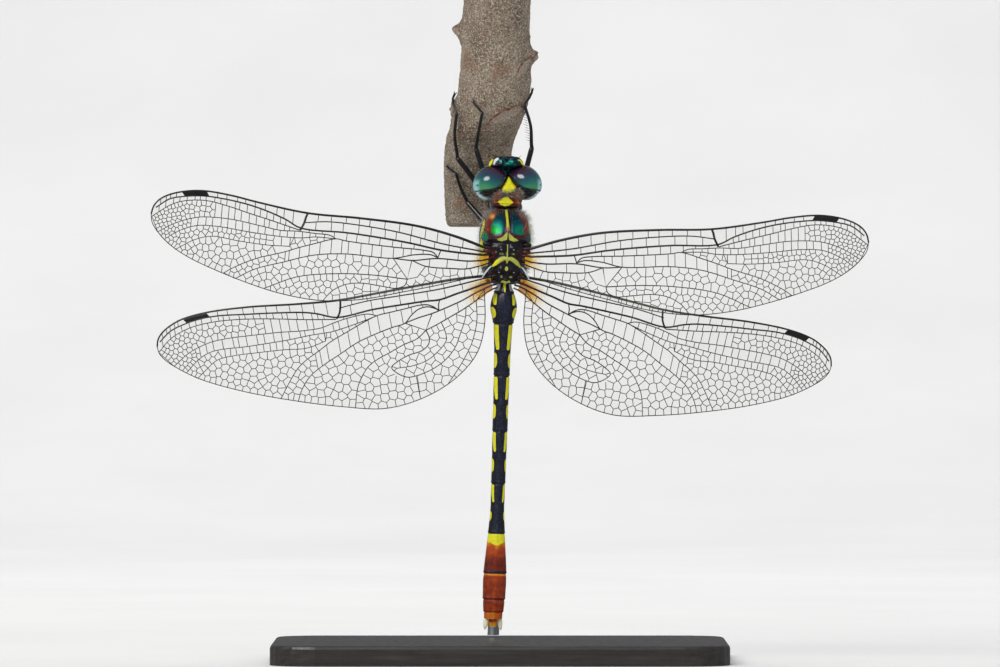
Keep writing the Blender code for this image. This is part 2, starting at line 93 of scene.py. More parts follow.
HINDWING = {
    "lead": ((0.0, 0.45), (3.0, 0.68), (7.4, 0.78), (11.8, 0.80), (16.2, 0.86), (20.7, 1.31),
             (26.0, 2.00), (30.6, 2.28), (33.4, 2.06), (34.8, 1.60), (35.8, 0.98),
             (36.4, 0.30), (36.65, -0.45)),
    "trail": ((0.2, -1.1), (0.9, -4.9), (2.3, -7.8), (5.0, -10.0), (8.8, -11.45),
              (13.2, -11.85), (17.9, -10.75), (23.0, -9.1), (28.5, -6.95), (32.7, -4.82),
              (34.9, -3.20), (36.0, -2.15), (36.55, -1.25), (36.65, -0.45)),
    "subcosta": ((0.0, 0.10), (3.0, -0.08), (5.3, -0.14), (9.7, -0.02), (13.0, 0.08),
                 (16.2, -0.10)),
    "radius": ((0.0, -0.50), (2.0, -0.82), (3.2, -0.98), (5.2, -1.28), (6.7, -1.15),
               (9.0, -1.05), (12.5, -0.95), (16.6, -1.05), (18.6, -0.28), (20.0, 0.15),
               (23.1, 0.70), (26.4, 1.18), (29.5, 1.60), (31.5, 1.62), (33.3, 1.38),
               (34.9, 0.92), (36.25, 0.00)),
    "sector_1": ((16.7, -1.25), (20.0, -0.64), (23.2, 0.05), (26.4, 0.65), (29.2, 0.98),
                 (31.3, 1.02), (33.0, 0.82), (35.0, 0.12), (36.58, -1.10)),
    "sector": ((5.5, -2.40), (6.1, -1.85), (6.7, -1.55), (7.8, -1.45), (9.0, -1.53),
               (10.6, -1.60), (12.3, -1.70), (13.9, -2.15), (15.9, -2.85), (17.7, -3.50),
               (19.3, -4.30), (20.7, -4.95), (21.9, -5.75), (23.2, -7.2), (24.3, -8.60)),
    "sector_2": ((12.3, -1.70), (13.2, -1.33), (15.5, -1.36), (17.2, -1.60), (18.5, -1.85),
                 (20.5, -1.78), (23.2, -1.45), (26.3, -1.20), (28.6, -1.05), (30.8, -1.10),
                 (33.2, -1.75), (35.2, -2.92)),
    "inter": ((12.3, -1.70), (14.0, -2.02), (15.8, -2.30), (17.5, -2.48), (19.5, -2.42),
              (22.5, -2.45), (26.5, -2.33), (30.8, -2.13), (32.4, -2.70), (34.0, -3.88)),
    "spur": ((18.3, -3.35), (20.5, -3.72), (23.0, -3.42), (26.0, -3.18), (28.5, -3.02),
             (30.4, -3.15), (32.0, -4.10), (32.9, -4.70)),
    "media": ((5.5, -2.40), (5.95, -2.08), (6.7, -1.78), (7.7, -1.88), (8.6, -2.40),
              (9.4, -3.08), (10.9, -3.28), (13.1, -3.70), (15.0, -4.20), (17.0, -5.05),
              (18.8, -5.80), (20.6, -6.75), (21.8, -8.0), (22.5, -9.25)),
    "stem": ((0.0, -0.95), (1.2, -1.28), (2.8, -1.82), (4.0, -2.12), (5.5, -2.45),
             (6.3, -2.60), (8.0, -2.80), (9.4, -3.08)),
    "anal": ((0.0, -1.45), (1.3, -2.10), (2.9, -2.80), (4.6, -3.40), (5.9, -3.85),
             (7.3, -4.27)),
    "cubitus": ((7.3, -4.27), (8.4, -4.98), (10.0, -5.36), (11.6, -5.90), (13.0, -6.35),
                (14.2, -6.95), (15.1, -7.90), (15.8, -9.0), (16.5, -11.20)),
    "loop": ((7.3, -4.27), (7.1, -5.15), (7.3, -5.80), (8.1, -6.35), (9.7, -6.60),
             (11.0, -7.05), (11.75, -7.55), (11.4, -8.15), (10.3, -8.90), (9.2, -8.95),
             (7.5, -8.60), (6.0, -7.95), (4.6, -6.80), (3.6, -5.20), (2.8, -3.70),
             (2.55, -2.66)),
    "rib": ((5.5, -3.70), (5.25, -4.95), (5.35, -5.80), (6.6, -6.90), (7.9, -7.55),
            (9.4, -7.80), (11.2, -7.75)),
    "heel": ((1.3, -2.10), (1.65, -4.30), (2.6, -6.50), (4.2, -8.60), (6.0, -10.45)),
    "stigma": (30.54, 33.2),
}
# For each wing: root in the body's frame (for the right side), sweep and lift in degrees.
WINGS = {
    "forewing_left": (-1, (2.62, -3.25, 0.25), 3.6, 7.0),
    "forewing_right": (1, (2.62, -3.25, 0.25), 3.1, 6.5),
    "hindwing_left": (-1, (2.32, -2.30, -3.25), -12.9, -8.0),
    "hindwing_right": (1, (2.32, -2.30, -3.25), -12.2, -14.0),
}


# ---------------------------------------------------------------- frames of the body

def body_pose():
    return (Matrix.Translation(THORAX_CENTRE) @ Matrix.Rotation(HEAD_LEAN, 4, "Y")
            @ Matrix.Rotation(BACK_TURN, 4, "Z"))


def head_pose():
    neck = Matrix.Translation(NECK)
    return (body_pose() @ neck @ Matrix.Rotation(-HEAD_ROLL, 4, "Y")
            @ Matrix.Rotation(HEAD_TURN, 4, "Z") @ neck.inverted())


def wing_pose(name):
    side, root, sweep, lift = WINGS[name]
    return (body_pose() @ Matrix.Translation((side * root[0], root[1], root[2]))
            @ Matrix.Rotation(math.radians(-side * lift), 4, "Z")
            @ Matrix.Rotation(math.radians(-side * sweep), 4, "Y"))


def placed(points, pose):
    """Points carried by a pose."""
    grid = np.array(pose)
    return np.asarray(points) @ grid[:3, :3].T + grid[:3, 3]


def turned(leans, pose):
    """Directions carried by a pose."""
    return placed(leans, pose) - placed(np.zeros((1, 3)), pose)


def lengthwise(rows):
    """How long each row's vector is, as a column."""
    return np.linalg.norm(rows, axis=1)[:, None]


def on_line(u, line):
    """A curve's second column where its first one is u."""
    return np.interp(u, line[:, 0], line[:, 1])


# ---------------------------------------------------------------- meshes

class Shell:
    """Points and faces of a mesh that is put together from pieces."""

    def __init__(self):
        self.points = []
        self.faces = []
        self.count = 0

    def add(self, points, faces):
        self.points.append(np.asarray(points, dtype=float).reshape(-1, 3))
        self.faces += [tuple(int(k) + self.count for k in face) for face in faces]
        self.count += len(self.points[-1])
        return self

    def array(self):
        return np.concatenate(self.points)

    def moved(self, pose):
        self.points = [placed(self.array(), pose)]
        return self


def add_object(name, data, material=None):
    if material:
        data.materials.append(material)
    made = bpy.data.objects.new(name, data)
    bpy.context.scene.collection.objects.link(made)
    return made


def make_mesh(name, shell, values=None):
    """A smooth mesh that keeps named values on its points."""
    mesh = bpy.data.meshes.new(name)
    mesh.from_pydata((shell.array() * MM).tolist(), [], shell.faces)
    mesh.validate()
    mesh.shade_smooth()
    for key, numbers in (values or {}).items():
        stored = mesh.attributes.new(key, "FLOAT", "POINT")
        stored.data.foreach_set("value", np.asarray(numbers, dtype=np.float32))
    return mesh


def make_piece(name, shell, material, replaces=(), values=None):
    piece = add_object(name, make_mesh(name, shell, values), material)
    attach(piece, "root")
    if replaces:
        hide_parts(*replaces)
    return piece


def smooth_rows(rows, count, per_span=24):
    """Evenly spaced rows along a smooth curve through the given rows."""
    knots = [np.array(row, dtype=float) for row in rows]
    knots = [2 * knots[0] - knots[1], *knots, 2 * knots[-1] - knots[-2]]
    fine = []
    for a, b, c, d in zip(knots, knots[1:], knots[2:], knots[3:]):
        ab, bc, cd = (max(np.linalg.norm(q - p), 1e-6) ** 0.5
                      for p, q in ((a, b), (b, c), (c, d)))
        start = bc * ((b - a) / ab - (c - a) / (ab + bc) + (c - b) / bc)
        end = bc * ((c - b) / bc - (d - b) / (bc + cd) + (d - c) / cd)
        for t in np.arange(per_span) / per_span:
            fine.append((2 * t ** 3 - 3 * t ** 2 + 1) * b + (t ** 3 - 2 * t ** 2 + t) * start
                        + (3 * t ** 2 - 2 * t ** 3) * c + (t ** 3 - t ** 2) * end)
    fine = np.array([*fine, knots[-2]])
    run = np.concatenate([[0.0], np.cumsum(np.linalg.norm(np.diff(fine, axis=0), axis=1))])
    wanted = run[-1] * np.linspace(0.0, 1.0, count)
    return np.stack([np.interp(wanted, run, column) for column in fine.T], axis=1)


def grid_faces(rows, columns, closed=False):
    """Quads of a grid of points, row by row; a closed grid joins its last column to its first."""
    faces = []
    for r in range(rows - 1):
        for c in range(columns if closed else columns - 1):
            d = (c + 1) % columns
            faces.append((r * columns + c, r * columns + d,
                          (r + 1) * columns + d, (r + 1) * columns + c))
    return faces


def capped_faces(rows, columns):
    """A closed grid with a lid at both ends."""
    last = (rows - 1) * columns
    return grid_faces(rows, columns, closed=True) + [
        tuple(range(columns)), tuple(range(last, last + columns))[::-1]]


def tube(shell, points, radii, sides=8, up=(0.0, -1.0, 0.0), flat=1.0):
    """Adds a rod through points; up steadies its section, flat thins it along up."""
    points = np.asarray(points, dtype=float)
    radii = np.broadcast_to(radii, len(points)).astype(float)
    along = np.gradient(points, axis=0)
    along /= lengthwise(along)
    side = np.cross(along, up)
    side /= np.maximum(lengthwise(side), 1e-9)
    lift = np.cross(side, along) * flat
    turns = 2 * math.pi * np.arange(sides) / sides
    ring = (side[:, None] * np.cos(turns)[None, :, None]
            + lift[:, None] * np.sin(turns)[None, :, None])
    rings = points[:, None] + ring * radii[:, None, None]
    last = (len(points) - 1) * sides
    caps = [tuple(range(sides))[::-1], tuple(range(last, last + sides))]
    shell.add(rings, grid_faces(len(points), sides, closed=True) + caps)


def rod(shell, rows, count, sides, up, flat=1.0):
    """Adds a smooth rod through rows that each hold a place and a radius."""
    rows = smooth_rows(rows, count)
    tube(shell, rows[:, :3], rows[:, 3], sides, up, flat)


# ---------------------------------------------------------------- wing plan

def part_of(curve, start, end):
    """The stretch of a curve between two distances along the span, in that direction."""
    low, high = sorted((start, end))
    inner = curve[(curve[:, 0] > low) & (curve[:, 0] < high)]
    ends = [[u, on_line(u, curve)] for u in (low, high)]
    stretch = np.array([ends[0], *inner, ends[1]])
    return stretch if start <= end else stretch[::-1]


def inside(points, outline):
    """Which points lie in a closed outline."""
    x, y = points[:, 0][:, None], points[:, 1][:, None]
    ax, ay = outline[:, 0][None], outline[:, 1][None]
    bx, by = np.roll(outline, -1, axis=0).T[:, None]
    crossing = (ay > y) != (by > y)
    rise = np.where(by == ay, 1.0, by - ay)
    hits = crossing & (x < (bx - ax) * (y - ay) / rise + ax)
    return hits.sum(axis=1) % 2 == 1


def nearest_on(points, line):
    """The nearest point of a polyline for each point."""
    a, b = line[:-1][None], line[1:][None]
    run = b - a
    length = np.maximum((run ** 2).sum(axis=2), 1e-12)
    t = np.clip((((points[:, None] - a) * run).sum(axis=2)) / length, 0.0, 1.0)
    spots = a + run * t[..., None]
    gaps = ((points[:, None] - spots) ** 2).sum(axis=2)
    best = gaps.argmin(axis=1)
    return spots[np.arange(len(points)), best]


def walls_between(seeds, real, reach):
    """Walls of the cells round seeds: their ends and the two seeds that each one parts."""
    walls = []
    gaps = np.linalg.norm(seeds[:real, None] - seeds[None], axis=2)
    for i in range(real):
        near = np.nonzero((gaps[i] < reach) & (gaps[i] > 1e-9))[0]
        offset = seeds[near] - seeds[i]
        along = np.stack([-offset[:, 1], offset[:, 0]], axis=1)
        slope = along @ offset.T
        room = (offset ** 2).sum(axis=1)[None] / 2 - offset @ offset.T / 2
        flat = np.abs(slope) < 1e-9
        ratio = room / np.where(flat, 1.0, slope)
        high = np.where(slope > 1e-9, ratio, 9.0).min(axis=1)
        low = np.where(slope < -1e-9, ratio, -9.0).max(axis=1)
        blocked = (flat & (room < -1e-9)).any(axis=1)
        for j in np.nonzero((high - low > 1e-4) & ~blocked)[0]:
            if near[j] >= real or near[j] > i:
                middle = seeds[i] + offset[j] / 2
                walls.append((middle + along[j] * low[j], middle + along[j] * high[j], i, near[j]))
    return walls


DARTS, SPARE_DARTS = 26, 60              # thrown for each square of the spacing, and besides
CELL_REACH = 3.4                         # how many spacings away a cell's neighbours can be


def scatter(outline, spacing):
    """Seeds at least a local spacing apart in an outline."""
    low, high = outline.min(axis=0), outline.max(axis=0)
    middle = spacing(np.array([(low + high) / 2]))[0]
    tries = int(DARTS * (high - low).prod() / middle ** 2) + SPARE_DARTS
    darts = low + (high - low) * DICE.random((tries, 2))
    darts = darts[inside(darts, outline)]
    kept = []
    for dart, room in zip(darts, spacing(darts)):
        if not kept or np.linalg.norm(np.array(kept) - dart, axis=1).min() > room:
            kept.append(dart)
    return np.array(kept)


def evened(seeds, walls, outline):
    """Seeds moved to the middle of their cells."""
    weight = np.zeros(len(seeds))
    moment = np.zeros((len(seeds), 2))
    for start, end, i, j in walls:
        for k in (i, j):
            if k < len(seeds):
                p, q = start - seeds[k], end - seeds[k]
                area = abs(p[0] * q[1] - p[1] * q[0]) / 2
                weight[k] += area
                moment[k] += area * (p + q) / 3
    moved = seeds + moment / np.maximum(weight, 1e-9)[:, None]
    return np.where(inside(moved, outline)[:, None], moved, seeds)


def cell_walls(sides, spacing, rounds=6):
    """Walls of a field of cells, relaxed so that the cells are even and meet its sides."""
    outline = np.vstack(sides)
    gates = [np.array([one[-1], other[0]]) for one, other in zip(sides, sides[1:] + sides[:1])]
    gates = [gate for gate in gates if np.linalg.norm(gate[1] - gate[0]) > SMALL_GATE]
    seeds = scatter(outline, spacing)
    if len(seeds) < 2:
        return gates
    reach = CELL_REACH * spacing(seeds).max()
    for turn in range(rounds + 1):
        ghosts = [2 * nearest_on(seeds, side) - seeds for side in sides + gates]
        ghosts = [mirrored[(np.linalg.norm(mirrored - seeds, axis=1) < reach)
                           & ~inside(mirrored, outline)] for mirrored in ghosts]
        walls = walls_between(np.vstack([seeds, *ghosts]), len(seeds), reach)
        if turn < rounds:
            seeds = evened(seeds, walls, outline)
    inner = [(start, end) for start, end, i, j in walls if j < len(seeds)]
    return trimmed(inner, outline) + gates


def first_crossing(start, end, closed):
    """Where a wall that leaves an outline first meets it."""
    run = end - start
    edge = closed[1:] - closed[:-1]
    offset = closed[:-1] - start
    slope = run[0] * edge[:, 1] - run[1] * edge[:, 0]
    slope = np.where(np.abs(slope) < 1e-12, 1e-12, slope)
    t = (offset[:, 0] * edge[:, 1] - offset[:, 1] * edge[:, 0]) / slope
    s = (offset[:, 0] * run[1] - offset[:, 1] * run[0]) / slope
    met = t[(t > 1e-6) & (t <= 1) & (s >= 0) & (s <= 1)]
    return start + run * met.min(initial=1.0)


def trimmed(walls, outline, snap=0.07, least=0.05):
    """Walls cut off at the outline and drawn out to it where they end just short."""
    closed = np.vstack([outline, outline[:1]])
    kept = []
    for start, end in walls:
        ends = np.array([start, end])
        within = inside(ends, outline)
        if not within.any():
            continue
        if not within.all():
            inner = int(within.argmax())
            ends[1 - inner] = first_crossing(ends[inner], ends[1 - inner], closed)
        edge = nearest_on(ends, closed)
        for k in (0, 1):
            if np.linalg.norm(edge[k] - ends[k]) < snap:
                ends[k] = edge[k]
        if np.linalg.norm(ends[1] - ends[0]) > least:
            kept.append(ends)
    return kept


def ladder(upper, lower, start, end, count):
    """Cross-veins between two veins, evenly set with a little unevenness."""
    walls = []
    for u in np.linspace(start, end, count):
        u += RUNG_SWAY * DICE.normal() * (end - start) / count
        walls.append([np.array([u, on_line(u, line)]) for line in (upper, lower)])
    return walls


def rows_between(upper, lower, size):
    """A cell spacing that fits whole rows between two veins, finer towards the tip."""
    def spacing(points):
        u = points[:, 0]
        wanted = size * (1 - 0.14 * u / WING_LENGTH - 0.30 * step(u, *FINE_TIP))
        width = np.abs(on_line(u, upper) - on_line(u, lower))
        rows = np.maximum(np.round(width / wanted), 1.0)
        return SEED_GAP * np.clip(width / rows, 0.85 * wanted, 1.25 * wanted)
    return spacing


# Rungs between two veins: where they start and end along the span, and how many they are.
# Fields of cells: the two veins that set the cells' size, that size, and the field's sides,
# each a stretch of a vein between two distances, a whole line or points of its own.
# Bars are single short veins with their radius.
FORE_PLAN = {
    "trunk": (("sector", 5.0, 16.4), ("sector_2", 16.5, 36.0)),
    "rungs": (
        ("lead", "subcosta", 2.3, 18.5, 12), ("subcosta", "radius", 2.5, 18.7, 12),
        ("lead", "radius", 21.3, 29.9, 9), ("lead", "radius", 34.3, 35.9, 4),
        ("radius", "sector_1", 22.0, 36.0, 20), ("radius", "trunk", 7.6, 19.3, 10),
        ("sector_1", "sector_2", 21.5, 29.2, 11), ("sector_2", "inter", 17.7, 31.6, 18),
        ("sector", "media", 6.8, 21.4, 14), ("stem", "anal", 1.5, 6.0, 3),
        ("radius", "stem", 2.7, 2.8, 1)),
    "link": ((21.0, -1.04), (21.4, -2.05)),
    "fields": (
        ("sector_1", "sector_2", 0.78, ("sector_1", 29.9, 36.7), ("sector_2", 35.9, 29.9)),
        ("sector_2", "inter", 0.78, ("sector_2", 32.4, 35.9), ("inter", 35.1, 32.4)),
        ("inter", "spur", 0.80, ("inter", 21.4, 35.1), ("spur", 33.8, 21.4)),
        ("spur", "trail", 0.84, ("inter", 16.6, 21.4), ("spur", 21.4, 33.8),
         ("trail", 33.8, 28.3), ("sector", 28.3, 16.6)),
        ("sector", "media", 0.82, ("sector", 21.8, 28.3), ("media", 27.0, 21.8)),
        ("media", "cubitus", 0.92, ("media", 9.9, 27.0), ("trail", 27.0, 23.8),
         ("cubitus", 23.8, 8.1)),
        ("cubitus", "trail", 0.86, ("cubitus", 9.2, 23.8), ("trail", 23.8, 17.2),
         ("cubitus_2", 17.2, 9.2)),
        ("anal", "trail", 0.90, ("anal", 0.3, 6.2), ((6.25, -2.80), (7.0, -3.99), (8.1, -4.33)),
         ("cubitus_2", 8.15, 17.2), ("trail", 17.2, 0.3))),
    "bars": ((((7.8, -2.24), (8.1, -4.33), (9.9, -2.21)), 0.055),
             (((6.2, -2.72), (7.0, -3.99), (8.1, -4.33)), 0.045),
             (((4.7, -0.82), (4.95, -1.65), (5.0, -1.76)), 0.065),
             (((19.72, 1.80), (19.9, 1.35), (20.05, 0.66), (20.3, 0.10), (20.45, -0.22)), 0.12)),
}
HIND_PLAN = {
    "trunk": (("sector", 5.6, 12.3), ("sector_2", 12.4, 35.0)),
    "rungs": (
        ("lead", "subcosta", 2.6, 14.6, 8), ("subcosta", "radius", 2.8, 14.9, 8),
        ("lead", "radius", 17.4, 29.5, 10), ("lead", "radius", 33.9, 35.8, 5),
        ("radius", "sector_1", 17.9, 35.9, 24), ("radius", "trunk", 7.2, 15.9, 7),
        ("sector_1", "sector_2", 18.2, 23.8, 7), ("sector_2", "inter", 13.7, 31.3, 20),
        ("sector", "media", 7.4, 19.2, 11), ("stem", "anal", 1.7, 4.9, 3)),
    "link": ((18.0, -2.46), (18.3, -3.35)),
    "fields": (
        ("sector_1", "sector_2", 0.84, ("sector_1", 24.6, 36.58), ("sector_2", 35.2, 24.6)),
        ("sector_2", "inter", 0.78, ("sector_2", 32.1, 35.2), ("inter", 34.0, 32.1)),
        ("inter", "spur", 0.82, ("inter", 18.3, 34.0), ("spur", 32.9, 18.3)),
        ("spur", "trail", 0.88, ("inter", 12.7, 18.3), ("spur", 18.3, 32.9),
         ("trail", 32.9, 24.3), ("sector", 24.3, 12.7)),
        ("sector", "media", 0.90, ("sector", 19.7, 24.3), ("media", 22.5, 19.7)),
        ("media", "cubitus", 0.94, ("media", 9.4, 22.5), ("trail", 22.5, 16.5),
         ("cubitus", 16.5, 7.3)),
        ("cubitus", "trail", 0.94, ("cubitus", 7.4, 16.5), ("trail", 16.5, 9.3),
         ("loop_fore",)),
        ("anal", "rib", 0.96, ("anal", 5.5, 7.3), ("loop_toe",), ("rib_back",)),
        ("rib", "loop", 0.96, ("rib",), ("loop_rear",), ("anal", 2.55, 5.5)),
        ("heel", "trail", 0.96, ("anal", 1.3, 2.5), ("loop_heel",), ("trail", 9.3, 6.0),
         ("heel_back",)),
        ("heel", "trail", 0.96, ("heel",), ("trail", 6.0, 0.2))),
    "bars": ((((6.3, -2.60), (7.3, -4.27), (9.4, -3.08)), 0.055),
             (((5.2, -1.28), (5.45, -1.85), (5.5, -2.45)), 0.065),
             (((15.85, 0.80), (15.95, 0.35), (16.05, -0.15), (16.3, -0.75), (16.65, -1.20)),
              0.11)),
}
WING_LENGTH = 36                         # about, from root to tip
FINE_TIP = (29.0, 35.5)                  # the stretch over which the cells grow much finer
RUNG_SWAY = 0.12                         # how unevenly rungs are set, as a share of their gap
SEED_GAP = 0.84                          # a cell's seeds against the cell's size
SMALL_GATE = 0.12                        # a narrower gap between two sides needs no wall
LOOP_REAR = (9.2, -8.95)                 # the rearmost place of the foot-shaped loop


def stretch(curves, name, *ends):
    """One side of a field."""
    if isinstance(name, tuple):
        return np.array([name, *ends])
    return part_of(curves[name], *ends) if ends else curves[name]


def wing_curves(wing, plan):
    """The long veins, the stretches of the hindwing's loop and the line that rungs end on."""
    curves = {name: smooth_rows(rows, 160) for name, rows in wing.items() if name != "stigma"}
    curves["trunk"] = np.vstack([stretch(curves, *side) for side in plan["trunk"]])
    if "loop" in curves:
        loop = curves["loop"]
        toe = int(loop[:, 0].argmax())
        sole = int(np.argmin(np.linalg.norm(loop - LOOP_REAR, axis=1)))
        curves.update(loop_fore=loop[:sole][::-1], loop_toe=loop[1:toe], loop_rear=loop[toe + 4:],
                      loop_heel=loop[sole:][::-1], rib_back=curves["rib"][::-1],
                      heel_back=curves["heel"][::-1])
    return curves


def wing_walls(curves, plan):
    """Cross-veins and cells of a wing."""
    walls = []
    for upper, lower, *run in plan["rungs"]:
        walls += ladder(curves[upper], curves[lower], *run)
    walls.append(np.array(plan["link"]))
    for upper, lower, size, *sides in plan["fields"]:
        spacing = rows_between(curves[upper], curves[lower], size)
        if lower in ("rib", "loop") or upper == "heel":
            spacing = lambda points, size=size: np.full(len(points), SEED_GAP * size)
        walls += cell_walls([stretch(curves, *side) for side in sides], spacing)
    return walls


# How far each long vein lies above (-) or below (+) the wing's middle surface.
FOLDS = {"lead": -0.06, "subcosta": 0.07, "radius": -0.09, "sector": 0.06, "sector_2": -0.03,
         "inter": 0.04, "media": -0.06, "cubitus": 0.05, "stem": -0.03, "anal": 0.04}
FOLD_WIDTH = 0.45
VEIN_RADII = {"lead": (0.16, 0.085), "subcosta": (0.09, 0.06), "radius": (0.12, 0.07),
              "sector_1": (0.06, 0.045), "sector": (0.07, 0.045), "sector_2": (0.055, 0.042),
              "inter": (0.05, 0.042), "spur": (0.044, 0.04), "media": (0.07, 0.045),
              "stem": (0.09, 0.065), "anal": (0.075, 0.06), "cubitus": (0.06, 0.045),
              "cubitus_2": (0.055, 0.045), "loop": (0.06, 0.046), "rib": (0.05, 0.044),
              "heel": (0.05, 0.044), "trail": (0.052, 0.045)}
ROOTED = ("lead", "subcosta", "radius", "stem", "anal")      # they run on into the thorax
WALL_RADIUS = 0.042
EDGE_INSET = 0.09                        # the costa's middle line from the plate's edge
TRAIL_INSET = 0.03
STIGMA_SLANT = 0.35
STIGMA_HALF = 0.085                      # half the dark cell's thickness


def wing_height(curves, flat, span):
    """How far points of a wing's plan lie below its root plane (+) or above it (-)."""
    u, v = flat[:, 0], flat[:, 1]
    share = np.clip(u / span, 0.0, 1.0)
    height = -WING_BOW * 4 * share * (1 - share)
    fade = 1 - 0.65 * share
    for name, fold in FOLDS.items():
        line = curves[name]
        across = (v - on_line(u, line)) / FOLD_WIDTH
        ends = np.clip((u - line[0, 0] + 1.0) / 2, 0, 1) * np.clip((line[-1, 0] - u) / 2, 0, 1)
        height += fold * fade * ends * np.exp(-across ** 2)
    return height


def lifted(curves, flat, side, raised=0.0):
    """Points of the wing's plan set on its folded surface."""
    flat = np.asarray(flat, dtype=float)
    height = wing_height(curves, flat, curves["lead"][-1, 0]) + raised
    return np.stack([side * flat[:, 0], height, flat[:, 1]], axis=1)


def sheet(curves, side, u, top, low, steps, raised=0.0):
    """A grid of the wing's skin between two lines of its plan, as a shell."""
    share = np.linspace(0, 1, steps)
    flat = np.stack([np.repeat(u, steps),
                     (top[:, None] + (low - top)[:, None] * share[None]).ravel()], axis=1)
    return Shell().add(lifted(curves, flat, side, raised), grid_faces(len(u), steps))


def vein_shell(curves, walls, bars, side):
    """All the veins of a wing as rods."""
    shell = Shell()
    span = curves["lead"][-1, 0]
    for name, (near, far) in VEIN_RADII.items():
        if name not in curves:
            continue
        line = curves[name].copy()
        if name == "lead":
            line[:, 1] -= EDGE_INSET * np.clip((span - line[:, 0]) / 2.0, 0.25, 1.0)
        if name == "trail":
            line[:, 1] += TRAIL_INSET
        radii = near + (far - near) * np.linspace(0, 1, len(line)) ** 0.7
        if name in ROOTED:
            root = np.array([[-1.25, line[0, 1] * 0.72 - 0.1], [-0.6, line[0, 1] * 0.86]])
            line = np.vstack([root, line])
            radii = np.concatenate([[1.25 * near, 1.12 * near], radii])
        tube(shell, lifted(curves, line, side), radii)
    for points, radius in bars:
        line = smooth_rows(points, 9) if len(points) > 3 else np.array(points)
        tube(shell, lifted(curves, line, side), radius, sides=6)
    for start, end in walls:
        reach = (end - start) * 0.5 * WALL_RADIUS / np.linalg.norm(end - start)
        line = np.array([start - reach, (start + end) / 2, end + reach])
        tube(shell, lifted(curves, line, side), WALL_RADIUS, sides=5)
    return shell


def stigma_shell(curves, ends, side, columns=14, rows=6):
    """The dark cell near the tip, a thin raised plate between the costa and the radius."""
    shares = np.linspace(0, 1, rows)
    shell = Shell()
    for lift in (-STIGMA_HALF, STIGMA_HALF):
        points = []
        for share in shares:
            run = np.linspace(*ends, columns) - STIGMA_SLANT * share + 0.1
            top = on_line(run, curves["lead"]) - EDGE_INSET
            low = on_line(run, curves["radius"])
            flat = np.stack([run, top + (low - top) * share], axis=1)
            bulge = 0.5 + 0.5 * math.sin(math.pi * share)
            points.append(lifted(curves, flat, side, lift * bulge))
        shell.add(np.concatenate(points), grid_faces(rows, columns))
    return shell


def membrane_shell(curves, side, columns=150):
    """The clear skin between the veins."""
    u = curves["lead"][-1, 0] * (1 - (1 - np.linspace(0, 1, columns)) ** 1.3)
    top = on_line(u, curves["lead"]) - EDGE_INSET
    low = np.minimum(on_line(u, curves["trail"]) + TRAIL_INSET, top)
    return sheet(curves, side, u, top, low, 46)


# ---------------------------------------------------------------- materials

